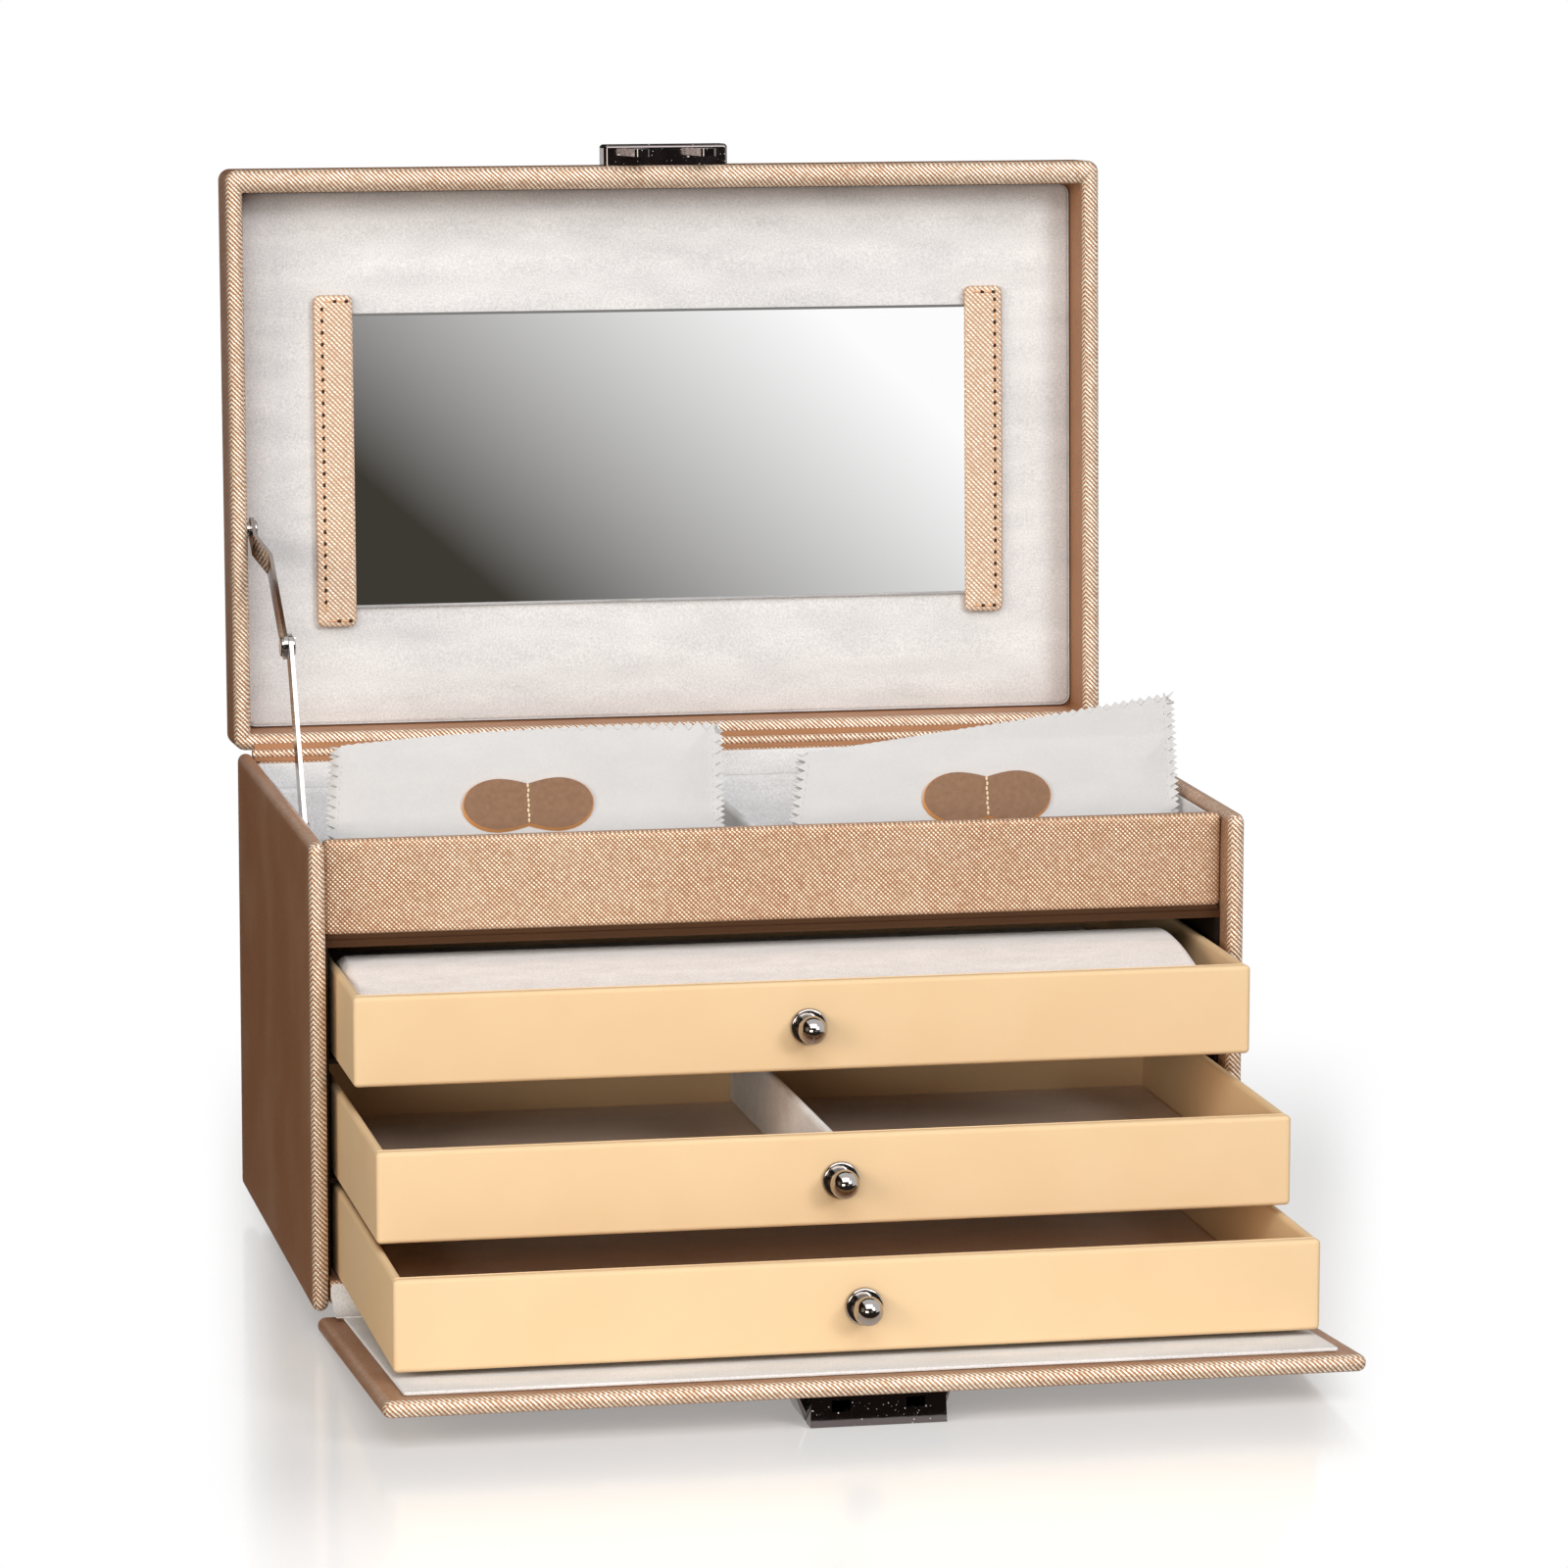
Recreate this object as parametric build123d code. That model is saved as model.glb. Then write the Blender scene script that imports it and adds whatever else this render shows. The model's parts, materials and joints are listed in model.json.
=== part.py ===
"""A jewelry case of leather-covered board, open, with a mirror lid, a drop front and three drawers.

Lengths are in millimetres. X runs to the right, Y to the back, Z up. The case stands at its rest
pose: lid up against its stay, front flap down on its lock, drawers pulled out as steps. It is laid
out with Y zero at the front of the side panels and moved at the end, so that the origin is the
middle of the floor that the whole open case covers.
"""
from build123d import *

import os
from math import asin, atan2, cos, degrees, hypot, radians, sin, sqrt, tan

# Body of the case
case_width = 280.0
case_depth = 176.0
case_top = 145.4
foot_height = 9.0
panel_thickness = 5.6
panel_corner_radius = 5.0
panel_edge_radius = 2.3
back_panel_drop = 2.5
base_thickness = 6.6
base_recess = 0.8
board_edge_radius = 1.6
seat_gap = 0.3
through_cut = 10.0

# Feet
foot_radius = 7.0
foot_edge_bevel = 1.0
foot_inset = 26.0

# Front rail under the lid
rail_recess = 8.2
rail_thickness = 5.0
rail_bottom = 116.4
rail_drop = 0.8

# Drawer bays
bay_wall_thickness = 1.2
bay_shelf_thickness = 1.4
bay_front = 9.0
lower_shelf_top = 44.6
upper_shelf_top = 80.0

# Top compartment
deck_thickness = 2.4
deck_drop = 1.0
lining_thickness = 1.2
lining_floor_thickness = 2.0
lining_drop = 2.8
rear_pad_thickness = 4.0
rear_pad_top = 135.1
rear_pad_radius = 1.9
divider_thickness = 3.0
divider_top = 138.0
divider_offset = 1.3
divider_edge_radius = 1.3

# Lid, measured from its hinge axis: along the lid, and square to it
lid_open_angle = 92.5
hinge_drop = 0.8
hinge_bead_radius = 0.9
hinge_tape_thickness = 1.0
hinge_leaf_gap = 0.15
hinge_leaf_level = 0.2
hinge_side_gap = 0.5
lid_near = 1.0
lid_far = 182.8
lid_rim_level = 1.2
lid_thickness = 24.0
lid_wall = 5.3
lid_front_wall = 7.3
lid_lining_depth = 17.0
lid_lining_thickness = 1.4
lid_back_radius = 3.0
lid_rim_radius = 2.2

# Mirror and its two stitched tabs
mirror_side_gap = 32.7
mirror_height = 93.0
mirror_middle = 90.5
mirror_thickness = 2.0
mirror_bevel_width = 0.8
mirror_bevel_depth = 0.4
tab_width = 12.4
tab_length = 104.8
tab_overlap = 3.1
tab_thickness = 1.2
tab_corner_radius = 2.0
tab_slot_gap = 0.2

# Hasp on the front edge of the lid
hasp_width = 39.6
hasp_reach = 6.6
hasp_height = 10.0
hasp_level = 5.0
hasp_edge_radius = 1.2
hook_spacing = 21.0
hook_width = 4.8
hook_thickness = 2.4
hook_length = 17.0
hook_standoff = 4.2
hook_notch_depth = 2.0
hook_notch_height = 3.2
hook_notch_rise = 1.3
hook_tip_radius = 1.0

# Lid stay: two links that fold forward into the lid
stay_lid_along = 70.0
stay_lid_level = 8.0
stay_case_back = 70.0
stay_case_drop = 13.5
upper_link_length = 59.0
lower_link_length = 61.0
link_width = 8.0
link_thickness = 1.2
link_gap = 0.3
link_joggle = 3.8
joggle_start_share = 0.13
joggle_end_share = 0.30
rivet_radius = 1.5
rivet_gap = 0.1
rivet_head_radius = 3.1
rivet_head_thickness = 0.9
rivet_edge_bevel = 0.3
rivet_depth = 2.4
collar_radius = 2.6
stay_wall_gap = 1.3

# Drop front
flap_side_inset = 1.5
flap_length = 139.8
flap_thickness = 5.2
flap_edge_radius = 2.3
flap_tail = 2.4
flap_axis_forward = 0.6
flap_axis_drop = 1.4
flap_face_drop = 2.0
flap_bead_radius = 0.6
flap_tape_thickness = 0.8
flap_tape_length = 14.0
flap_border = 6.5
flap_lining_tail = 1.9
flap_lining_thickness = 1.2
flap_lining_radius = 0.5

# Lock on the outer face of the drop front
lock_setback = 6.0
lock_width = 45.0
lock_end_width = 38.0
lock_length = 24.0
lock_end_length = 6.0
lock_depth = 9.0
lock_side_slope = 3.2
lock_wall = 1.5
lock_edge_radius = 1.0
lock_floor_gap = 0.2
lock_hole_width = 5.4
lock_hole_height = 3.4
lock_hole_level = 3.2
lock_tab_width = 28.0
lock_tab_length = 6.0
lock_tab_thickness = 1.2
lock_pin_spacing = 18.0
lock_pin_radius = 1.0
lock_pin_head_radius = 1.7
lock_pin_head_height = 0.7
lock_pin_depth = 3.0
plug_radius = 4.2
plug_gap = 0.1
plug_from_end = 14.0
plug_recess = 0.4
plug_length = 4.4
plug_collar_radius = 5.2
plug_collar_thickness = 1.0
key_slot_length = 4.6
key_slot_width = 1.1
key_slot_depth = 1.8
bolt_width = 2.4
bolt_height = 1.8
bolt_end_margin = 1.6
bolt_finger_width = 2.0
bolt_finger_gap = 0.2
bolt_wall_gap = 0.3

# Drawers, from the top one down
drawer_side_gap = 1.5
drawer_height = 26.2
drawer_length = 159.6
drawer_wall = 2.6
drawer_floor = 2.2
drawer_front_thickness = 3.6
drawer_lip_radius = 0.9
top_drawer_reach = 35.3
middle_drawer_reach = 80.4
bottom_drawer_reach = 112.3
drawer_card_thickness = 1.6
drawer_card_gap = 0.2
ring_pad_depth = 8.0
ring_pad_radius = 1.6
drawer_divider_thickness = 3.0
drawer_divider_drop = 2.0
drawer_divider_radius = 1.2

# Drawer knobs
knob_ball_radius = 4.2
knob_base_radius = 5.4
knob_base_thickness = 1.6
knob_base_bevel = 0.6
knob_neck_radius = 2.3
knob_neck_length = 1.2
knob_screw_radius = 1.4
knob_screw_gap = 0.05
knob_screw_bite = 3.6
knob_screw_head_radius = 2.8
knob_screw_head_height = 1.0
knob_screw_recess = 0.6

# Cloth pouches with leather patches, standing in the top compartment
pouch_thickness = 5.0
pouch_edge_radius = 2.2
pouch_toe = 40.0
pouch_lean_angle = 78.0
left_pouch_side_gap = 1.9
left_pouch_divider_gap = 8.8
left_pouch_left_height = 48.6
left_pouch_right_height = 53.0
left_pouch_left_taper = 5.0
left_pouch_right_taper = -1.3
right_pouch_side_gap = 1.2
right_pouch_divider_gap = 4.2
right_pouch_left_height = 42.4
right_pouch_right_height = 58.1
right_pouch_left_taper = 7.2
right_pouch_right_taper = 0.3
patch_width = 39.5
patch_lobe_width = 20.0
patch_lobe_height = 15.2
patch_waist = 11.8
patch_waist_width = 13.0
patch_thickness = 1.3
patch_across_share = 0.516
left_patch_up_share = 0.587
right_patch_up_share = 0.553

# Places worked out from the sizes above
half_width = case_width / 2
inner_half = half_width - panel_thickness
base_top = foot_height + base_thickness
back_front = case_depth - panel_thickness
back_top = case_top - back_panel_drop
rail_top = case_top - rail_drop
rail_back = rail_recess + rail_thickness
deck_top = rail_bottom - deck_drop
deck_bottom = deck_top - deck_thickness
lining_top = case_top - lining_drop
lining_floor = deck_top + lining_floor_thickness
lining_inner_half = inner_half - lining_thickness
lining_front = rail_back + lining_thickness
lining_back = back_front - lining_thickness
lid_axis_z = case_top - hinge_drop
lid_lining_level = lid_rim_level + lid_lining_depth
lid_inner_half = half_width - lid_wall
mirror_level = lid_lining_level - mirror_thickness
mirror_width = (lid_inner_half - mirror_side_gap) * 2
flap_axis_z = foot_height - flap_axis_drop
flap_width = case_width - flap_side_inset * 2
flap_outer_face = flap_face_drop + flap_thickness
flap_free_edge = flap_length - flap_tail
lock_face = flap_free_edge - lock_setback
hook_middle = flap_outer_face + lock_hole_level
drawer_width = (inner_half - bay_wall_thickness - drawer_side_gap) * 2


def block(x, y, z):
    """A board between the low and high ends given for each direction."""
    middle = [(low + high) / 2 for low, high in (x, y, z)]
    size = [high - low for low, high in (x, y, z)]
    return Pos(*middle) * Box(*size)


def span(middle, size):
    """The low and high ends of a size about a middle."""
    return (middle - size / 2, middle + size / 2)


def rod_x(radius, x, y, z):
    """A round rod along X between two ends."""
    return Pos((x[0] + x[1]) / 2, y, z) * Rot(0, 90, 0) * Cylinder(radius, x[1] - x[0])


def edges_at(solid, place, direction):
    """The straight edges along a direction whose middles lie at the given height."""
    return [e for e in solid.edges().filter_by(direction) if abs(e.center().Z - place) < seat_gap / 2]


def side_panel(side):
    """A padded side panel: a board with rounded corners and soft leather edges."""
    outline = RectangleRounded(case_depth, case_top - foot_height, panel_corner_radius)
    board = extrude(Plane.YZ * outline, panel_thickness / 2, both=True)
    board = fillet(board.edges(), panel_edge_radius)
    middle = (side * (half_width - panel_thickness / 2), case_depth / 2, (case_top + foot_height) / 2)
    return Pos(*middle) * board


def left_side_panel():
    """The left panel, with the blind hole that takes the stay's rivet."""
    y, z = stay_case_point()
    return side_panel(-1) - rod_x(rivet_radius, (-inner_half - rivet_depth, -lining_inner_half), y, z)


def back_panel():
    """The back, between the side panels, with a rolled top edge."""
    board = block((-inner_half, inner_half), (back_front, case_depth), (foot_height, back_top))
    return fillet(edges_at(board, back_top, Axis.X), panel_edge_radius)


def base_board():
    """The bottom board, which carries the lowest drawer."""
    board = block((-inner_half, inner_half), (base_recess, back_front), (foot_height, base_top))
    front = board.edges().filter_by(Axis.X).group_by(Axis.Y)[0]
    return fillet(front, board_edge_radius)


def base_front_lining():
    """The suede strip on the front edge of the bottom board."""
    z = (foot_height + board_edge_radius, base_top - board_edge_radius)
    return block((-inner_half, inner_half), (0, base_recess), z)


def feet():
    """Four low round feet that lift the case clear of the lowered flap."""
    foot = Pos(0, 0, foot_height / 2) * Cylinder(foot_radius, foot_height)
    foot = chamfer(foot.edges().group_by(Axis.Z)[0], foot_edge_bevel)
    x = half_width - foot_inset
    return [Pos(side * x, y, 0) * foot for side in (-1, 1) for y in (foot_inset, case_depth - foot_inset)]


def front_rail():
    """The leather band across the front, above the drawers."""
    rail = block((-inner_half, inner_half), (rail_recess, rail_back), (rail_bottom, rail_top))
    return fillet(edges_at(rail, rail_top, Axis.X) + edges_at(rail, rail_bottom, Axis.X), board_edge_radius)


def bay_wall(side):
    """The dark board that lines one side of the drawer bays."""
    ends = sorted((side * inner_half, side * (inner_half - bay_wall_thickness)))
    return block(ends, (bay_front, back_front), (base_top, deck_bottom))


def bay_shelf(top):
    """A thin dark shelf between two bays."""
    half = inner_half - bay_wall_thickness
    return block((-half, half), (bay_front, back_front), (top - bay_shelf_thickness, top))


def compartment_board():
    """The board under the top compartment."""
    return block((-inner_half, inner_half), (bay_front, back_front), (deck_bottom, deck_top))


def compartment_lining():
    """The suede tray of the top compartment, with a hole for the stay's rivet."""
    tray = block((-inner_half, inner_half), (rail_back, back_front), (deck_top, lining_top))
    room = (-lining_inner_half, lining_inner_half)
    hollow = block(room, (lining_front, lining_back), (lining_floor, lining_top + through_cut))
    y, z = stay_case_point()
    return tray - hollow - rod_x(rivet_radius, (-half_width, -lining_inner_half + lining_thickness), y, z)


def rear_pad():
    """The padded panel on the rear wall of the compartment, with its rounded upper edge."""
    room = (-lining_inner_half, lining_inner_half)
    pad = block(room, (lining_back - rear_pad_thickness, lining_back), (lining_floor, rear_pad_top))
    return fillet(edges_at(pad, rear_pad_top, Axis.X), rear_pad_radius)


def compartment_divider():
    """The suede-covered board that parts the compartment in two."""
    y = (lining_front, lining_back - rear_pad_thickness)
    board = block(span(divider_offset, divider_thickness), y, (lining_floor, divider_top))
    return fillet(edges_at(board, divider_top, Axis.Y), divider_edge_radius)


def lid_hinge_strip():
    """The leather strip over the back panel's top edge, rolled into a bead along the lid's axis."""
    room = (-inner_half, inner_half)
    y = (back_front + panel_edge_radius, case_depth)
    tape = block(room, y, (back_top - panel_edge_radius, back_top + hinge_tape_thickness))
    return tape - back_panel() + rod_x(hinge_bead_radius, room, case_depth, lid_axis_z)


def flap_hinge_strip():
    """The leather strip under the bottom board, rolled into a bead along the flap's axis."""
    half = inner_half - panel_edge_radius
    low = foot_height - flap_tape_thickness
    tape = block((-half, half), (-flap_axis_forward, flap_tape_length), (low, foot_height))
    web = block((-half, half), span(-flap_axis_forward, flap_tape_thickness), (flap_axis_z, foot_height))
    return tape + web + rod_x(flap_bead_radius, (-half, half), -flap_axis_forward, flap_axis_z)


def lid_place():
    """The lid's frame at rest. In it the lid lies closed, its front towards -Y and its outside up."""
    return Pos(0, case_depth, lid_axis_z) * Rot(-lid_open_angle, 0, 0)


def lid_shell():
    """The lid: a shallow leather-covered tray with a rolled rim."""
    top = lid_rim_level + lid_thickness
    shell = block((-half_width, half_width), (-lid_far, -lid_near), (lid_rim_level, top))
    corners = shell.edges().filter_by(Axis.Z)
    shell = fillet(corners + shell.edges().group_by(Axis.Z)[-1], lid_back_radius)
    floor = lid_lining_level + lid_lining_thickness
    shell = shell - block(*lid_room(), (lid_rim_level - through_cut, floor))
    shell = fillet(shell.edges().group_by(Axis.Z)[0], lid_rim_radius)
    ends = (-lid_inner_half - rivet_depth, -lid_inner_half)
    return shell - rod_x(rivet_radius, ends, -stay_lid_along, stay_lid_level)


def lid_room():
    """The lid's recess across and along."""
    return (-lid_inner_half, lid_inner_half), (lid_front_wall - lid_far, -lid_wall - lid_near)


def lid_lining():
    """The suede-covered card inside the lid."""
    return block(*lid_room(), (lid_lining_level, lid_lining_level + lid_lining_thickness))


def lid_hinge_leaf():
    """The leather that runs from the hinge bead into the lid's rim."""
    near = hinge_bead_radius + hinge_leaf_gap
    half = inner_half - hinge_side_gap
    y = (-lid_near - lid_rim_radius, -near)
    return block((-half, half), y, (hinge_leaf_level, lid_rim_level + lid_rim_radius)) - lid_shell()


def mirror():
    """The mirror glass, with a shallow bevel round its face."""
    y = span(-mirror_middle, mirror_height)
    glass = block(span(0, mirror_width), y, (mirror_level, lid_lining_level))
    face = glass.faces().sort_by(Axis.Z)[0]
    return chamfer(face.edges(), mirror_bevel_width, mirror_bevel_depth, reference=face)


def mirror_tab(side):
    """A leather tab that holds one end of the mirror, stepped over the glass."""
    inner = mirror_width / 2 - tab_overlap
    level = mirror_level - tab_thickness
    ends = sorted((side * inner, side * (inner + tab_width)))
    tab = block(ends, span(-mirror_middle, tab_length), (level, lid_lining_level))
    tab = fillet(tab.edges().filter_by(Axis.Z), tab_corner_radius)
    tab = fillet(tab.edges().group_by(Axis.Z)[0], tab_thickness / 2)
    slot_ends = sorted((0, side * (mirror_width / 2 + tab_slot_gap)))
    slot_room = span(-mirror_middle, mirror_height + tab_slot_gap * 2)
    return tab - block(slot_ends, slot_room, (mirror_level, lid_lining_level))


def hasp_hook():
    """One hook of the hasp: a flat finger with a rounded tip and a notch for the bolt."""
    tip = hasp_level - hook_length
    finger = block(span(0, hook_width), span(-lid_axis_to_hook(), hook_thickness), (tip, hasp_level))
    finger = fillet(finger.edges().filter_by(Axis.Y).group_by(Axis.Z)[0], hook_tip_radius)
    notch_low = tip + hook_notch_rise
    notch = (hook_width / 2 - hook_notch_depth, hook_width)
    room = span(-lid_axis_to_hook(), hook_thickness + through_cut)
    return finger - block(notch, room, (notch_low, notch_low + hook_notch_height))


def lid_axis_to_hook():
    """How far the hooks lie from the lid's axis, in line with the holes of the closed lock."""
    return lid_far + hook_standoff


def lid_hasp():
    """The hasp: a metal block on the lid's front edge, with two hooks for the lock."""
    y = (-lid_far - hasp_reach, -lid_far)
    plate = block(span(0, hasp_width), y, (hasp_level, hasp_level + hasp_height))
    outer = plate.edges().group_by(Axis.Y)[0] + plate.edges().filter_by(Axis.Y)
    plate = fillet(outer, hasp_edge_radius)
    for side in (-1, 1):
        plate += Pos(side * hook_spacing / 2, 0, 0) * hasp_hook()
    return plate


def stay_case_point():
    """Y and Z of the stay's pivot on the case."""
    return case_depth - stay_case_back, lid_axis_z - stay_case_drop


def stay_lid_point():
    """Y and Z of the stay's pivot on the open lid."""
    turn = radians(lid_open_angle)
    y = stay_lid_level * sin(turn) - stay_lid_along * cos(turn)
    z = stay_lid_along * sin(turn) + stay_lid_level * cos(turn)
    return case_depth + y, lid_axis_z + z


def stay_knuckle():
    """Y and Z of the joint between the two links, bent to the front."""
    case_y, case_z = stay_case_point()
    lid_y, lid_z = stay_lid_point()
    apart = hypot(lid_y - case_y, lid_z - case_z)
    along = (lower_link_length**2 - upper_link_length**2 + apart**2) / (2 * apart)
    off = sqrt(lower_link_length**2 - along**2)
    step_y, step_z = (lid_y - case_y) / apart, (lid_z - case_z) / apart
    return case_y + along * step_y - off * step_z, case_z + along * step_z + off * step_y


def link_outline(start, end, x, depth):
    """A flat link with round eyes, from one pivot to the other, between x and x plus its depth."""
    along = (0, end[0] - start[0], end[1] - start[1])
    length = hypot(along[1], along[2])
    plane = Plane(origin=(x, start[0], start[1]), x_dir=along, z_dir=(1, 0, 0))
    outline = Pos(length / 2, 0) * SlotCenterToCenter(length, link_width)
    outline -= Circle(rivet_radius + rivet_gap)
    outline -= Pos(length, 0) * Circle(rivet_radius + rivet_gap)
    return extrude(plane * outline, depth)


# Where the stay's links lie across the case, from the wall inwards
lid_link_x = -lid_inner_half + stay_wall_gap
upper_link_x = lid_link_x + link_joggle
lower_link_x = upper_link_x + link_thickness + link_gap
case_link_end = lower_link_x + link_thickness


def stay_upper_link():
    """The upper link, which steps outwards to its pivot on the lid's wall."""
    start, end = stay_lid_point(), stay_knuckle()
    length = upper_link_length
    eye = link_width / 2
    bend, flat = length * joggle_start_share, length * joggle_end_share
    side = [(-eye, 0), (bend, 0), (flat, link_joggle), (length + eye, link_joggle)]
    back = [(along, across + link_thickness) for along, across in reversed(side)]
    along = (0, end[0] - start[0], end[1] - start[1])
    square = (0, along[2], -along[1])
    plane = Plane(origin=(lid_link_x, start[0], start[1]), x_dir=along, z_dir=square)
    strip = extrude(plane * make_face(Polyline(*side, *back, close=True)), eye, both=True)
    return strip & link_outline(start, end, lid_link_x, link_joggle + link_thickness)


def stay_lower_link():
    """The lower link, flat, from the case to the knuckle."""
    return link_outline(stay_case_point(), stay_knuckle(), lower_link_x, link_thickness)


def rivet(point, shank, head_side):
    """A round rivet along X: its shank between two ends, and a head on the side given."""
    y, z = point
    base = shank[1] if head_side > 0 else shank[0]
    ends = sorted((base, base + head_side * rivet_head_thickness))
    head = rod_x(rivet_head_radius, ends, y, z)
    rim = head.edges().group_by(Axis.X)[-1 if head_side > 0 else 0]
    return chamfer(rim, rivet_edge_bevel) + rod_x(rivet_radius, shank, y, z)


def stay_case_rivet():
    """The rivet that holds the lower link on the case, with its spacing collar."""
    y, z = stay_case_point()
    pin = rivet((y, z), (-inner_half - rivet_depth, case_link_end + rivet_gap), 1)
    return pin + rod_x(collar_radius, (-lining_inner_half, lower_link_x - rivet_gap), y, z)


def stay_lid_rivet():
    """The rivet that holds the upper link in the lid, in the lid's own frame."""
    point = (-stay_lid_along, stay_lid_level)
    link_end = lid_link_x + link_thickness
    pin = rivet(point, (-lid_inner_half - rivet_depth, link_end + rivet_gap), 1)
    return pin + rod_x(collar_radius, (-lid_inner_half, lid_link_x - rivet_gap), *point)


def flap_tilt():
    """How far the lowered flap rises to its free edge, in degrees, when its lock meets the floor."""
    down = flap_outer_face + lock_depth
    reach = hypot(lock_face, down)
    return degrees(atan2(down, lock_face) + asin((lock_floor_gap - flap_axis_z) / reach))


def flap_place():
    """The flap's frame at rest: its axis along X, its free edge towards -Y, its lined side up."""
    return Pos(0, -flap_axis_forward, flap_axis_z) * Rot(-flap_tilt(), 0, 0)


def flap_board():
    """The drop front, a padded leather-covered board, with the holes for the lock's pins."""
    z = (-flap_outer_face, -flap_face_drop)
    board = block(span(0, flap_width), (-flap_free_edge, flap_tail), z)
    board = fillet(board.edges(), flap_edge_radius)
    for x in (-lock_pin_spacing / 2, lock_pin_spacing / 2):
        hole = Cylinder(lock_pin_radius, lock_pin_depth, align=(Align.CENTER, Align.CENTER, Align.MIN))
        board -= Pos(x, lock_tab_middle(), -flap_outer_face) * hole
    return board


def flap_lining():
    """The suede panel on the inner side of the drop front."""
    half = flap_width / 2 - flap_border
    y = (flap_border - flap_free_edge, flap_lining_tail)
    card = block((-half, half), y, (-flap_face_drop, flap_lining_thickness - flap_face_drop))
    top = card.edges().group_by(Axis.Z)[-1]
    return fillet(top, flap_lining_radius)


def lock_tab_middle():
    """Where the lock's rear tab and its pins lie along the flap."""
    return lock_length + lock_tab_length / 2 - lock_face


def lock_floor(along):
    """How deep the lock is at a distance from its end face: its bottom lies flat on the floor."""
    return lock_depth - along * tan(radians(flap_tilt()))


def lock_body(width, slope, start, end, wall):
    """A length of the lock: sloping sides, and a bottom that is level when the flap is down."""
    top = [(width / 2 - wall, 0), (wall - width / 2, 0)]
    sides = []
    for along in (start, end):
        deep = lock_floor(along) - wall
        narrow = width / 2 - wall - slope
        outline = Polyline(*top, (-narrow, -deep), (narrow, -deep), close=True)
        plane = Plane(origin=(0, along - lock_face, -flap_outer_face), x_dir=(1, 0, 0), z_dir=(0, -1, 0))
        sides.append(plane * make_face(outline))
    return loft(sides, ruled=True)


def lock_case():
    """The lock's pressed housing, open towards the flap, with two holes for the hooks."""
    slope = lock_side_slope
    housing = lock_body(lock_width, slope, lock_end_length, lock_length, 0)
    bottom_edges = housing.edges().filter_by(lambda e: e.center().Z < -flap_outer_face - lock_wall)
    housing = fillet(bottom_edges, lock_edge_radius)
    end_slope = (lock_end_width - lock_width) / 2 + slope
    housing += lock_body(lock_end_width, end_slope, 0, lock_end_length, 0)
    housing -= lock_body(lock_end_width, end_slope, lock_wall, lock_length - lock_wall, lock_wall)
    for x in (-hook_spacing / 2, hook_spacing / 2):
        y = (-lock_face - through_cut, lock_wall * 2 - lock_face)
        housing -= block(span(x, lock_hole_width), y, span(-hook_middle, lock_hole_height))
    plug_hole = Cylinder(plug_radius + plug_gap, through_cut * 2)
    housing -= Pos(0, plug_from_end - lock_face, -flap_outer_face) * plug_hole
    tab_y = (lock_length - lock_face, lock_length + lock_tab_length - lock_face)
    tab = block(span(0, lock_tab_width), tab_y, (-flap_outer_face - lock_tab_thickness, -flap_outer_face))
    for x in (-lock_pin_spacing / 2, lock_pin_spacing / 2):
        tab -= Pos(x, lock_tab_middle(), -flap_outer_face) * Cylinder(lock_pin_radius, through_cut)
    return housing + tab


def lock_pins():
    """The two pins that hold the lock on the flap."""
    shank_length = lock_pin_depth + lock_tab_thickness
    shank = Cylinder(lock_pin_radius, shank_length, align=(Align.CENTER, Align.CENTER, Align.MIN))
    down = (Align.CENTER, Align.CENTER, Align.MAX)
    head = Cylinder(lock_pin_head_radius, lock_pin_head_height, align=down)
    low = -flap_outer_face - lock_tab_thickness
    spots = (-lock_pin_spacing / 2, lock_pin_spacing / 2)
    return [Pos(x, lock_tab_middle(), low) * (shank + head) for x in spots]


def lock_plug():
    """The key plug: a round core with a collar behind the housing wall and a slot for the key."""
    outside = -flap_outer_face - lock_floor(plug_from_end) + plug_recess
    up = (Align.CENTER, Align.CENTER, Align.MIN)
    core = Cylinder(plug_radius, plug_length, align=up)
    collar = Cylinder(plug_collar_radius, plug_collar_thickness, align=up)
    collar = Pos(0, 0, lock_wall + plug_recess / 2) * collar
    slot = Box(key_slot_length, key_slot_width, key_slot_depth, align=up)
    return Pos(0, plug_from_end - lock_face, outside) * (core + collar - slot)


def lock_bolt():
    """The sliding bolt: a bar with two fingers that pass into the notches of the hooks."""
    y = span(lock_wall + bolt_wall_gap + bolt_width / 2 - lock_face, bolt_width)
    high = -hook_middle - hook_thickness / 2 - bolt_finger_gap
    inner = hook_spacing / 2 + lock_hole_width / 2 + bolt_finger_gap
    ends = (inner - hook_spacing - bolt_end_margin, inner + bolt_finger_width)
    bolt = block(ends, y, (high - bolt_height, high))
    for x in (inner, inner - hook_spacing):
        bolt += block((x, x + bolt_finger_width), y, (high, high + hook_thickness))
    return bolt


def drawer_box():
    """A drawer's paper-wrapped tray: three walls and a floor, behind the front board."""
    half = drawer_width / 2
    tray = block((-half, half), (drawer_front_thickness, drawer_length), (0, drawer_height))
    rear = tray.edges().filter_by(Axis.Z).group_by(Axis.Y)[-1]
    tray = fillet(rear, drawer_lip_radius)
    room = (drawer_wall - half, half - drawer_wall)
    tray -= block(room, (0, drawer_length - drawer_wall), (drawer_floor, drawer_height + through_cut))
    lips = [e for e in tray.edges().group_by(Axis.Z)[-1] if e.length > drawer_wall * 2]
    return fillet(lips, drawer_lip_radius)


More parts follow.
